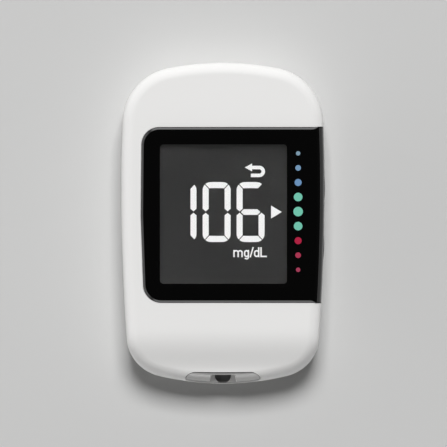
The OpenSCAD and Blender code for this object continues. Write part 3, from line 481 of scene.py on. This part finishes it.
# the outline of the window, rounded at its two left corners, as an upright prism whose top may lean inwards
def windowPrism(grow, lowZ, highZ, bevel=0.0, drop=0.0):
    form = windowForm
    bm = bmesh.new()
    right = caseForm["width"]
    middle = (form["top"] + form["low"]) / 2
    low, high = form["low"] - grow, form["top"] + grow
    points = [(right, low), (right, high)]
    for edgeY, y in ((form["top"], high), (middle, middle), (form["low"], low)):
        points.append((form["margin"] - sideX(edgeY) - grow, y))
    verts = [bm.verts.new((x, y, lowZ)) for x, y in points]
    bm.faces.new(verts)
    roundCorners(bm, [verts[2], verts[4]], form["radius"] + grow, form["radiusSteps"])
    pullFaces(bm, bm.faces[:], (0, 0, highZ - lowZ))
    if bevel:
        bmesh.ops.recalc_face_normals(bm, faces=bm.faces)
        cap = max(bm.faces, key=lambda face: face.calc_center_median().z)
        bmesh.ops.inset_region(bm, faces=[cap], thickness=2 * bevel, depth=2 * drop, use_even_offset=True,
                               use_boundary=True)
    return toolFrom(bm)


def buildWindow():
    form = windowForm
    topZ = caseForm["frontZ"] + form["rise"]
    lens = frontForm(0.0, -form["rise"], caseForm["partZ"])
    outline = windowPrism(0.0, form["lowZ"], topZ - form["bevelDrop"], form["bevel"], form["bevelDrop"])
    bar = blockTool((form["wide"], form["wide"], (form["skirtZ"], form["highZ"])))
    lens = toolFrom(cutWith(lens, [outline, bar], "INTERSECT"))
    lens = toolFrom(cutWith(lens, [outlinePrism(form["skirt"], 0.0, topZ - form["thick"])]))
    hole = bmesh.new()
    addPlate(hole, form["viewX"], form["viewY"], form["holeZ"], form["viewRadius"])
    bm = cutWith(lens, [toolFrom(hole)])
    # the clear pane over the display
    pane = bmesh.new()
    joint = form["joint"]
    addPlate(pane, (form["viewX"][0] + joint, form["viewX"][1] - joint),
             (form["viewY"][0] + joint, form["viewY"][1] - joint), (topZ - form["thick"], topZ),
             form["viewRadius"] - joint)
    for shape, index in ((bm, 0), (pane, 1)):
        bmesh.ops.recalc_face_normals(shape, faces=shape.faces)
        for face in shape.faces:
            face.material_index = index
    bm.from_mesh(meshFrom(pane, "pane"))
    objectFrom(bm, "displayWindow", "meter", [finish["lensBlack"], finish["clearPlastic"]],
               ["display_window"])


buildWindow()
print("window ready")


# front cover

coverForm = dict(fit=0.1 * mm, ledgeZ=14.1 * mm,
                 opening=((-17.6 * mm, 17.6 * mm), (-17.3 * mm, 21.7 * mm), (0.0, 14.2 * mm)),
                 portY=-37.07 * mm, portZ=9.5 * mm, portTilt=56, portWidth=18.1 * mm, portHeight=5.0 * mm,
                 portLift=0.1 * mm, portDepth=(-4 * mm, 6 * mm), socketY=36 * mm, socketZ=8.8 * mm,
                 socketWidth=8.0 * mm, socketHeight=3.1 * mm, socketDepth=10 * mm, seamHeight=0.15 * mm,
                 seamDepth=0.25 * mm, rebate=0.8 * mm, rebateZ=7.1 * mm, portRoom=(-9.85 * mm, 9.85 * mm),
                 portRoomY=(-40 * mm, -29 * mm), panelEnds=(-19.2 * mm, 23.1 * mm), panelRoom=2.5 * mm,
                 notchX=(12 * mm, 40 * mm), panelRoomX=(12.2 * mm, 40 * mm), roomZ=(0.0, 10 * mm),
                 highZ=30 * mm, wideX=(-40 * mm, 40 * mm), wideY=(-60 * mm, 60 * mm),
                 prismZ=(-1 * mm, 40 * mm), over=1 * mm, endShare=0.999, endSteps=16,
                 caseBoss=dict(x=17.02 * mm, y=(29.75 * mm, -28.55 * mm), radius=2.5 * mm,
                               z=(6.3 * mm, 13.9 * mm), hole=0.92 * mm, holeZ=10.2 * mm),
                 boardBoss=dict(x=11.5 * mm, y=(27.5 * mm, -23.1 * mm), radius=1.6 * mm,
                                z=(7.5 * mm, 13.8 * mm), hole=0.72 * mm, holeZ=11.5 * mm))


def portMatrix():
    turn = Matrix.Rotation(math.radians(coverForm["portTilt"]), 4, "X")
    return Matrix.Translation((0, coverForm["portY"], coverForm["portZ"])) @ turn


# a plate with round ends, whose radius is just under half the height so that no edge between them collapses
def stadiumTool(width, height, depth, matrix):
    bm = bmesh.new()
    addPlate(bm, (-width / 2, width / 2), (-height / 2, height / 2), depth,
             height / 2 * coverForm["endShare"], coverForm["endSteps"])
    bmesh.ops.transform(bm, matrix=matrix, verts=bm.verts)
    return toolFrom(bm)


# four posts in the corners, or the holes in them
def postTool(post, hole):
    bm = bmesh.new()
    radius = post["hole"] if hole else post["radius"]
    low, high = (post["z"][0] - coverForm["over"], post["holeZ"]) if hole else post["z"]
    for side in (-1, 1):
        for y in post["y"]:
            fall = 0.0 if hole else chinFall(y) * caseForm["chinDrop"]
            bmesh.ops.create_cone(bm, cap_ends=True, segments=32, radius1=radius, radius2=radius,
                                  depth=high - fall - low,
                                  matrix=Matrix.Translation((side * post["x"], y, (low + high - fall) / 2)))
    return toolFrom(bm)


# a block with a prism of the outline taken out, which leaves a band round the case
def bandTool(block, inset):
    return toolFrom(cutWith(blockTool(block), [outlinePrism(inset, *coverForm["prismZ"])]))


def buildFrontCover():
    form = coverForm
    cover = frontForm(0.0, 0.0, caseForm["partZ"])
    wall = caseForm["wall"]
    cavity = frontForm(wall, wall, caseForm["partZ"] - form["over"])
    recess = windowPrism(form["fit"], form["ledgeZ"], form["highZ"])
    # the side where the window's skirt and the key panel go
    notch = bandTool((form["notchX"], form["panelEnds"], (0.0, form["highZ"])),
                     windowForm["skirt"] + form["fit"])
    seamTop = caseForm["partZ"] + form["seamHeight"]
    seam = bandTool((form["wideX"], form["wideY"], (0.0, seamTop)), form["seamDepth"])
    port = stadiumTool(form["portWidth"], form["portHeight"], form["portDepth"],
                       portMatrix() @ Matrix.Translation((0, form["portLift"], 0)))
    socket = stadiumTool(form["socketWidth"], form["socketHeight"], (-form["socketDepth"], 0.0),
                         Matrix.Translation((0, form["socketY"], form["socketZ"])) @
                         Matrix.Rotation(math.radians(90), 4, "X"))
    # room for the rear cover's lip, except at the key panel and the strip port
    lowEnd, highEnd = form["panelEnds"]
    panelRoomY = (lowEnd - form["panelRoom"], highEnd + form["panelRoom"])
    keep = blockTool((form["portRoom"], form["portRoomY"], form["roomZ"]),
                     (form["panelRoomX"], panelRoomY, form["roomZ"]))
    rebate = toolFrom(cutWith(outlinePrism(form["rebate"], 0.0, form["rebateZ"]), [keep]))
    cover = toolFrom(cutWith(cover, [cavity, rebate]))
    posts = (form["caseBoss"], form["boardBoss"])
    cover = toolFrom(cutWith(cover, [postTool(post, False) for post in posts], "UNION"))
    bm = cutWith(cover, [recess, blockTool(form["opening"]), notch, seam, port, socket] +
                 [postTool(post, True) for post in posts])
    objectFrom(bm, "frontCover", "meter", finish["shellWhite"], ["front_cover"], 30)


buildFrontCover()
print("front cover ready")


# signs on the display

signForm = dict(z=(13.15 * mm, 13.18 * mm), digitWidth=6.69 * mm, digitHeight=14.36 * mm, digitY=-4.52 * mm,
                digitX=dict(one=-13.01 * mm, nought=-4.84 * mm, six=3.28 * mm), stroke=1.44 * mm,
                bar=1.46 * mm, corner=1.82 * mm, cornerSteps=12, bow=0.018, bowFrom=1.5 * mm, bowCuts=8,
                mitre=0.21 * mm, mitreSlope=1.13, tipGap=0.34 * mm, tipAngle=41, middleBar=1.35 * mm,
                middleIn=0.3 * mm, turnSteps=16)


# raises a flat shape to the thickness of a sign and adds it to the target
def raiseInto(target, bm):
    low, high = signForm["z"]
    bmesh.ops.remove_doubles(bm, verts=bm.verts, dist=mergeGap / 10)
    bmesh.ops.translate(bm, verts=bm.verts, vec=(0, 0, low))
    pullFaces(bm, bm.faces[:], (0, 0, high - low))
    bmesh.ops.recalc_face_normals(bm, faces=bm.faces)
    target.from_mesh(meshFrom(bm, "part"))


def raiseOutline(target, points):
    bm = bmesh.new()
    bm.faces.new([bm.verts.new((*point, 0)) for point in points])
    raiseInto(target, bm)


def signFrom(target, name):
    objectFrom(target, name, "meter", finish["displaySign"], clean=False, weighted=False)


# the planes that cut a segment out of a digit's frame: a point on each, and the way that stays
def segmentPlanes(name):
    form = signForm
    w, h, t, b = form["digitWidth"], form["digitHeight"], form["stroke"], form["bar"]
    gap, tip = form["mitre"] / 2, form["tipGap"] / 2
    angle = math.radians(form["tipAngle"])
    s, c = math.sin(angle), math.cos(angle)
    slope = form["mitreSlope"]
    shift = gap * math.hypot(slope, 1) / slope
    if name in "ad":
        planes = [((t + shift, h - b), (slope, 1)), ((w - t - shift, h - b), (-slope, 1)),
                  ((0, h - b), (0, 1))]
    else:
        planes = [((t - shift, h - b), (-slope, -1)), ((t, 0), (-1, 0)), ((t / 2, h / 2 + tip), (-s, c)),
                  ((t / 2, h / 2 + tip), (s, c))]
    if name in "dec":
        planes = [((x, h - y), (nx, -ny)) for (x, y), (nx, ny) in planes]
    if name in "bc":
        planes = [((w - x, y), (-nx, ny)) for (x, y), (nx, ny) in planes]
    return planes


# the top and bottom of a digit curve a little outwards
def bowEnds(bm):
    half, middle = signForm["digitWidth"] / 2, signForm["digitHeight"] / 2
    edges = [edge for edge in bm.edges if edge.calc_length() > signForm["bowFrom"]]
    bmesh.ops.subdivide_edges(bm, edges=edges, cuts=signForm["bowCuts"])
    for vert in bm.verts:
        fall = 1 - signForm["bow"] * ((vert.co.x - half) / half) ** 2
        vert.co.y = middle + (vert.co.y - middle) * fall


# a segment of the frame, which is a rounded rectangle
def addSegment(target, name, x):
    form = signForm
    width, height, y = form["digitWidth"], form["digitHeight"], form["digitY"]
    bm = bmesh.new()
    corners = [bm.verts.new(p) for p in ((0, 0, 0), (width, 0, 0), (width, height, 0), (0, height, 0))]
    bm.faces.new(corners)
    roundCorners(bm, corners, form["corner"], form["cornerSteps"])
    for point, normal in segmentPlanes(name):
        splitAlong(bm, (*point, 0), (*normal, 0), 1e-8, clear=True)
    bowEnds(bm)
    bmesh.ops.translate(bm, verts=bm.verts, vec=(x, y, 0))
    raiseInto(target, bm)


def addMiddleBar(target, x):
    form = signForm
    half = form["middleBar"] / 2
    left = x + form["stroke"] / 2 + form["middleIn"]
    right = x + form["digitWidth"] - form["stroke"] / 2 - form["middleIn"]
    y = form["digitY"] + form["digitHeight"] / 2
    raiseOutline(target, [(left, y), (left + half, y - half), (right - half, y - half), (right, y),
                          (right - half, y + half), (left + half, y + half)])


def buildDigits():
    target = bmesh.new()
    for digit, segments in (("one", "bc"), ("nought", "abcdef"), ("six", "acdef")):
        for name in segments:
            addSegment(target, name, signForm["digitX"][digit])
    addMiddleBar(target, signForm["digitX"]["six"])
    signFrom(target, "displayDigits")


# draws a flat stroke: an edge as wide as the pen, pulled along each run and swung round the turn after it
def drawStroke(target, start, heading, pen, moves):
    bm = bmesh.new()
    place = Vector((*start, 0))
    along = Matrix.Rotation(math.radians(heading), 3, "Z") @ Vector((1, 0, 0))
    across = Vector((-along.y, along.x, 0)) * pen / 2
    edge = bm.edges.new([bm.verts.new(place - across), bm.verts.new(place + across)])
    for run, radius, angle in moves:
        if run:
            ends = vertsOf(bmesh.ops.extrude_edge_only(bm, edges=[edge])["geom"])
            bmesh.ops.translate(bm, verts=ends, vec=along * run)
            edge = bm.edges.get(ends)
            place = place + along * run
        if angle:
            side = Vector((-along.y, along.x, 0)) * math.copysign(radius, angle)
            turn = Matrix.Rotation(math.radians(angle), 3, "Z")
            swung = bmesh.ops.spin(bm, geom=list(edge.verts) + [edge], cent=place + side, axis=(0, 0, 1),
                                   dvec=(0, 0, 0), angle=math.radians(angle), steps=signForm["turnSteps"],
                                   use_merge=False)
            edge = edgesOf(swung["geom_last"])[0]
            place = place + side - turn @ side
            along = turn @ along
    raiseInto(target, bm)


arrowForm = dict(tip=(5.23 * mm, 13.33 * mm), headLength=1.75 * mm, headHeight=1.9 * mm, bar=0.84 * mm,
                 turn=(8.71 * mm, 12.37 * mm), turnOuter=1.36 * mm, tailX=6.68 * mm,
                 marker=((11.52 * mm, 1.12 * mm), (14.1 * mm, 2.67 * mm), (11.52 * mm, 4.21 * mm)))


# the return arrow, a bar with a half turn and a head, and the marker beside the digits
def buildArrows():
    form = arrowForm
    target = bmesh.new()
    turnX, turnY = form["turn"]
    tipX, tipY = form["tip"]
    headX, half = tipX + form["headLength"], form["headHeight"] / 2
    radius = form["turnOuter"] - form["bar"] / 2
    drawStroke(target, (headX, turnY + radius), 0, form["bar"],
               [(turnX - headX, radius, -180), (turnX - form["tailX"], 0, 0)])
    raiseOutline(target, [(tipX, tipY), (headX, tipY - half), (headX, tipY + half)])
    raiseOutline(target, form["marker"])
    signFrom(target, "displayArrows")


# the unit of the reading, mg/dL, each stroke on the baseline
unitForm = dict(baseline=-8.13 * mm, pen=0.35 * mm, low=1.71 * mm, tall=2.37 * mm, hang=0.57 * mm,
                mStems=(2.66 * mm, 3.65 * mm, 4.58 * mm), mTurn=150, gBowl=(5.2 * mm, 6.1 * mm),
                hook=0.43 * mm, hookTurn=-150, slash=((6.53 * mm, -0.03 * mm), (7.25 * mm, 2.4 * mm)),
                slashPen=0.31 * mm, dBowl=(7.6 * mm, 8.57 * mm), capStem=9.12 * mm, capEnd=10.52 * mm)


def unitStrokes():
    form = unitForm
    half, low, tall = form["pen"] / 2, form["low"], form["tall"]
    first, second, third = form["mStems"]
    strokes = [((first, 0), 90, [(low, 0, 0)])]
    for left, right in ((first, second), (second, third)):
        radius = (right - left) / 2
        strokes.append(((right, 0), 90, [(low - half - radius, radius, form["mTurn"])]))
    for left, right in (form["gBowl"], form["dBowl"]):
        radius = (right - left) / 2
        run = low - 2 * half - 2 * radius
        strokes.append(((right, half + radius), 90, [(run, radius, 180), (run, radius, 180)]))
    hookTop = form["hook"] - form["hang"] + half
    strokes.append(((form["gBowl"][1], low), -90, [(low - hookTop, form["hook"], form["hookTurn"])]))
    for x in (form["dBowl"][1], form["capStem"]):
        strokes.append(((x, tall), -90, [(tall, 0, 0)]))
    strokes.append(((form["capStem"], half), 0, [(form["capEnd"] - form["capStem"], 0, 0)]))
    return strokes


def buildUnit():
    form = unitForm
    target = bmesh.new()
    for (x, y), heading, moves in unitStrokes():
        drawStroke(target, (x, y + form["baseline"]), heading, form["pen"], moves)
    foot, head = Vector(form["slash"][0]), Vector(form["slash"][1])
    lean = math.degrees(math.atan2(head.y - foot.y, head.x - foot.x))
    drawStroke(target, (foot.x, foot.y + form["baseline"]), lean, form["slashPen"],
               [((head - foot).length, 0, 0)])
    signFrom(target, "displayUnit")


buildDigits()
buildArrows()
buildUnit()
print("display signs ready")


# range dots on the window

dotForm = dict(x=17.98 * mm, middleY=2.77 * mm, pitch=3.478 * mm, z=(15.22 * mm, 15.262 * mm),
               sizes=[1.03, 1.35, 1.68, 2.05, 2.27, 2.05, 1.68, 1.35, 1.05],
               colors=[(0.24, 0.38, 0.49), (0.20, 0.36, 0.55), (0.17, 0.33, 0.57), (0.195, 0.63, 0.475),
                       (0.195, 0.64, 0.475), (0.195, 0.63, 0.475), (0.50, 0.02, 0.065), (0.46, 0.045, 0.10),
                       (0.42, 0.055, 0.115)])


def buildDots():
    form = dotForm
    low, high = form["z"]
    middle = (len(form["sizes"]) - 1) / 2
    paints = {}
    for k, (size, color) in enumerate(zip(form["sizes"], form["colors"])):
        if color not in paints:
            paints[color] = moulded("dotPaint%d" % k, color, 0.12, 1500.0, 0.0, 0.02, 0.0)
        bm = bmesh.new()
        y = form["middleY"] + form["pitch"] * (middle - k)
        bmesh.ops.create_cone(bm, cap_ends=True, segments=48, radius1=size / 2 * mm, radius2=size / 2 * mm,
                              depth=high - low, matrix=Matrix.Translation((form["x"], y, (low + high) / 2)))
        objectFrom(bm, "rangeDot%d" % (k + 1), "meter", paints[color], weighted=False)


buildDots()
print("range dots ready")


# copies of the CAD nodes that show, with smooth shading

smoothCopy("rear_cover", "rearCover", "meter", finish["shellWhite"])
smoothCopy("battery_door", "batteryDoor", "battery_door", finish["shellWhite"],
           ease=0.06 * mm)
smoothCopy("strip_ejector", "stripEjector", "strip_ejector", finish["sliderGrey"],
           ease=0.08 * mm)
smoothCopy("side_panel", "sidePanel", "meter", finish["panelBlack"])
smoothCopy("up_button", "upButton", "up_button", finish["keyBlack"], ease=0.12 * mm)
smoothCopy("down_button", "downButton", "down_button", finish["keyBlack"], ease=0.12 * mm)


# raised arrow on each key: where its face is, its middle along the side and the way that it points

keyMarkForm = dict(half=0.85 * mm, height=1.35 * mm, corner=0.12 * mm, cornerSteps=4, keyZ=9.2 * mm,
                   faces=dict(up_button=(24.445 * mm, 8.55 * mm, 1),
                              down_button=(24.265 * mm, -4.65 * mm, -1)),
                   raised=0.03 * mm, sunk=0.08 * mm)


def buildKeyMarks():
    form = keyMarkForm
    for body, (faceX, keyY, way) in form["faces"].items():
        bm = bmesh.new()
        middle = keyY - way * form["height"] / 3
        corners = [(middle, form["keyZ"] - form["half"]), (middle, form["keyZ"] + form["half"]),
                   (middle + way * form["height"], form["keyZ"])]
        verts = [bm.verts.new((faceX - form["sunk"], y, z)) for y, z in corners]
        bm.faces.new(verts)
        roundCorners(bm, verts, form["corner"], form["cornerSteps"])
        pullFaces(bm, bm.faces[:], (form["raised"] + form["sunk"], 0, 0))
        objectFrom(bm, body.split("_")[0] + "KeyMark", body, finish["keyMark"], weighted=False)


buildKeyMarks()


# return spring of the ejector, built as it stands; in the real meter it closes up as the slider moves

springForm = dict(x=7.8 * mm, z=4.2 * mm, start=-29.5 * mm, end=-17.0 * mm, coil=2.4 * mm, wire=0.3 * mm,
                  wireSides=10, turns=9, turnSteps=28, ground=0.02 * mm)


def buildSpring():
    form = springForm
    coilRadius = (form["coil"] - form["wire"]) / 2
    startY = form["start"] + form["wire"] / 2 + form["ground"]
    run = form["end"] - form["start"] - form["wire"] - 2 * form["ground"]
    steps = form["turns"] * form["turnSteps"]
    bm = bmesh.new()
    place = Matrix.Translation((form["x"] + coilRadius, startY, form["z"]))
    wire = bmesh.ops.create_circle(bm, segments=form["wireSides"], radius=form["wire"] / 2,
                                   matrix=place)["verts"]
    edges = list({edge for vert in wire for edge in vert.link_edges})
    bmesh.ops.contextual_create(bm, geom=edges)
    made = bmesh.ops.spin(bm, geom=edges, cent=(form["x"], startY, form["z"]), axis=(0, 1, 0),
                          dvec=(0, run / steps, 0), angle=2 * math.pi * form["turns"], steps=steps,
                          use_merge=False)
    bmesh.ops.contextual_create(bm, geom=edgesOf(made["geom_last"]))
    spring = objectFrom(bm, "ejectorSpring", None, finish["steel"], ["ejector_spring"], 60,
                        weighted=False)
    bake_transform(spring)


buildSpring()
print("key marks and spring ready")


# the strip port's insert: painted, with a ledge painted lighter as painted light round a hollow painted
# darker as painted shade, a dark seam at its rim as painted shadow and painted highlights along its channel
# walls

# level, upright, frontWay, wallWay and sideWay say which way a face points
portForm = dict(finishes=("portPaint", "portLedgePaintedLight", "portHollowPaintedShade", "portRimPaintedShadow"), sharpAngle=24, ledgeTilt=20,
                hollow=(2.0 * mm, -38.0 * mm, -36.33 * mm), topZ=8.32 * mm, floorZ=7.55 * mm,
                hollowReach=0.22, wallHighlightEdge=0.2 * mm, rimShadowEdge=0.15 * mm, level=0.999, upright=0.02,
                frontWay=0.5, wallWay=(0.92, 0.98), sideWay=0.05)


# breaks the edges between two sorts of faces of the insert and gives them a finish: a painted highlight or a
# painted shadow line
def breakEdges(bm, isOne, isOther, width, index):
    edges = []
    for edge in bm.edges:
        if len(edge.link_faces) == 2:
            one, other = edge.link_faces
            if (isOne(one) and isOther(other)) or (isOne(other) and isOther(one)):
                edges.append(edge)
    done = bmesh.ops.bevel(bm, geom=edges, affect="EDGES", offset=width, segments=1, profile=0.5, material=-1,
                           clamp_overlap=True)
    for face in done["faces"]:
        face.material_index = index


def buildPortInsert():
    form = portForm
    paint, paintedLight, paintedShade, seam = range(len(form["finishes"]))
    insert = smoothCopy("strip_port_bezel", "stripPortBezel", "meter",
                        [finish[name] for name in form["finishes"]], form["sharpAngle"])
    tilt = math.radians(form["ledgeTilt"])
    ledge = Vector((0, -math.sin(tilt), math.cos(tilt)))
    axis = portMatrix().to_3x3() @ Vector((0, 0, 1))
    reachX, lowY, highY = form["hollow"]
    bm = bmesh.new()
    bm.from_mesh(insert.data)
    # the ledge is painted lighter as painted light; the hollow's upright walls and its floor are painted
    # darker as painted shade
    for face in bm.faces:
        middle = face.calc_center_median()
        inside = abs(middle.x) < reachX and lowY < middle.y < highY and middle.z < form["topZ"]
        if face.normal.dot(ledge) > form["level"]:
            face.material_index = paintedLight
        elif inside and (abs(face.normal.z) < form["upright"] or face.normal.z > form["level"]):
            face.material_index = paintedShade
    # the hollow reaches further towards the edge, along the slope of the ledge
    for vert in {v for face in bm.faces if face.material_index == paintedShade for v in face.verts}:
        reach = (vert.co.y - highY) * form["hollowReach"]
        vert.co.y += reach
        if vert.co.z > form["floorZ"]:
            vert.co.z += reach * math.tan(tilt)
    bm.normal_update()

    def isFront(face):
        outward = face.normal.dot(axis) > form["frontWay"]
        return face.material_index == paint and outward and abs(face.normal.z) > form["upright"]

    def isWall(face):
        low, high = form["wallWay"]
        return abs(face.normal.z) < form["upright"] and low < abs(face.normal.x) < high

    def isSide(face):
        return abs(face.normal.dot(axis)) < form["sideWay"]

    # the rims of the channel walls get pale chamfers as painted highlights
    breakEdges(bm, isFront, isWall, form["wallHighlightEdge"], paintedLight)
    # the insert's outer rim gets a dark chamfer as painted shadow of its recess
    breakEdges(bm, isFront, isSide, form["rimShadowEdge"], seam)
    # the insert's sides, in the gap round it, are painted dark as the shadow of the recess
    for face in bm.faces:
        if isSide(face):
            face.material_index = seam
    markSmooth(bm, form["sharpAngle"])
    bm.to_mesh(insert.data)
    bm.free()


buildPortInsert()
smoothCopy("usb_socket", "dataSocket", "meter", finish["steel"])
smoothCopy("battery_cell_left", "cellLeft", "meter", finish["cellSteel"])
smoothCopy("battery_cell_right", "cellRight", "meter", finish["cellSteel"])
smoothCopy("case_screws", "caseScrews", "meter", finish["steel"])
print("visible copies ready")


# finishes of the CAD nodes that stay

nodeFinish = dict(
    window_tape="foamBlack", window_mask="filmBlack", lcd_gasket="foamBlack", lcd_polariser="displayField",
    lcd_glass="cellGlass", lcd_light_guide="guideClear", lcd_holder="plasticNatural",
    lcd_connector="siliconePink", backlight_led="lampYellow", circuit_board="boardGreen",
    main_chip="chipBlack", radio_module="steel", crystal="steel", board_capacitors="capacitorTan",
    strip_connector="plasticNatural", strip_contacts="contactGold", slot_led="lampYellow",
    usb_tongue="chipBlack", battery_contact_negative="contactGold", battery_contact_link="contactGold",
    battery_contact_positive="contactGold", board_screws="steel", up_switch="switchGrey",
    down_switch="switchGrey", up_switch_nib="keyBlack", down_switch_nib="keyBlack")

for nodeName, finishName in nodeFinish.items():
    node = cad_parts[nodeName]
    if node.material_slots:
        for holder in node.material_slots:
            holder.material = finish[finishName]
    else:
        node.data.materials.append(finish[finishName])
print("inner finishes ready")


# floor, world and lamp

stageSet = dict(floorSize=8.0, floorZ=-0.02 * mm, floorColor=(0.66, 0.66, 0.655), keyPower=82.8,
                keySize=1.12, keyFrom=(0.03, 0.530, 0.848), keyDistance=3.0, skyLow=0.05, skyHigh=0.03,
                skyFall=(0.42, 0.80), skyBack=0.3, skyTurn=(-0.7, 0.2), glowRise=(0.0, 0.05),
                glows=[dict(way="X", span=(0.45, 0.8), fall=(0.04, 0.12), strength=1.9),
                       dict(way="X", span=(-0.45, -0.8), fall=(0.24, 0.33), strength=1.65),
                       dict(way="Y", span=(-0.3, -0.6), fall=(0.08, 0.16), strength=3.0)],
                farStrip=3.4, nearStrip=2.6, stripBand=(0.185, 0.25), stripFade=(0.3, 0.62), stripAhead=0.75)


# soft sky: dark overhead, low glows on the right, the left and the near side, and a strip light at each end
def buildSky():
    world = bpy.data.worlds.new("studio")
    scene.world = world
    world.use_nodes = True
    tree = world.node_tree
    back = tree.nodes["Background"]
    place = addNode(tree, "TexCoord", {}).outputs["Generated"]
    ways = addNode(tree, "SeparateXYZ", {0: place}).outputs
    across, ahead, height = ways["X"], ways["Y"], ways["Z"]
    fall = rangeNode(tree, height, *stageSet["skyFall"], stageSet["skyLow"], stageSet["skyHigh"])
    turn = rangeNode(tree, ahead, *stageSet["skyTurn"], stageSet["skyBack"], 1.0)
    sky = mathNode(tree, "MULTIPLY", fall, turn)
    rise = rangeNode(tree, height, *stageSet["glowRise"])
    for glow in stageSet["glows"]:
        band = mathNode(tree, "MULTIPLY", rise, rangeNode(tree, height, *glow["fall"], 1.0, 0.0))
        side = rangeNode(tree, ways[glow["way"]], *glow["span"], 0.0, glow["strength"])
        sky = mathNode(tree, "MULTIPLY_ADD", band, side, sky)
    low, high = stageSet["stripBand"]
    band = mathNode(tree, "COMPARE", height, (low + high) / 2, (high - low) / 2)
    far = mathNode(tree, "GREATER_THAN", ahead, stageSet["stripAhead"])
    near = mathNode(tree, "LESS_THAN", ahead, -stageSet["stripAhead"])
    strips = mathNode(tree, "MULTIPLY_ADD", far, stageSet["farStrip"],
                      mathNode(tree, "MULTIPLY", near, stageSet["nearStrip"]))
    fade = rangeNode(tree, mathNode(tree, "ABSOLUTE", across), *stageSet["stripFade"], 1.0, 0.0)
    total = mathNode(tree, "MULTIPLY_ADD", mathNode(tree, "MULTIPLY", band, fade), strips, sky)
    link(tree, total, back.inputs["Strength"])
    back.inputs["Color"].default_value = (1, 1, 1, 1)


def buildFloor():
    bm = bmesh.new()
    bmesh.ops.create_grid(bm, x_segments=8, y_segments=8, size=stageSet["floorSize"] / 2)
    bmesh.ops.translate(bm, verts=bm.verts, vec=(0, 0, stageSet["floorZ"]))
    floor = addObject("floor", meshFrom(bm, "floor"))
    floor.data.materials.append(moulded("floorPaper", stageSet["floorColor"], 0.9, 3000.0, 0.05, 0.02, 0.01,
                                        specular=0.1))


def buildLamp():
    data = bpy.data.lights.new("keyLamp", "AREA")
    data.energy = stageSet["keyPower"]
    data.size = stageSet["keySize"]
    lamp = addObject("keyLamp", data)
    direction = Vector(stageSet["keyFrom"]).normalized()
    lamp.location = direction * stageSet["keyDistance"]
    lamp.rotation_mode = "QUATERNION"
    lamp.rotation_quaternion = direction.to_track_quat("Z", "Y")


buildSky()
buildFloor()
buildLamp()
print("stage ready")
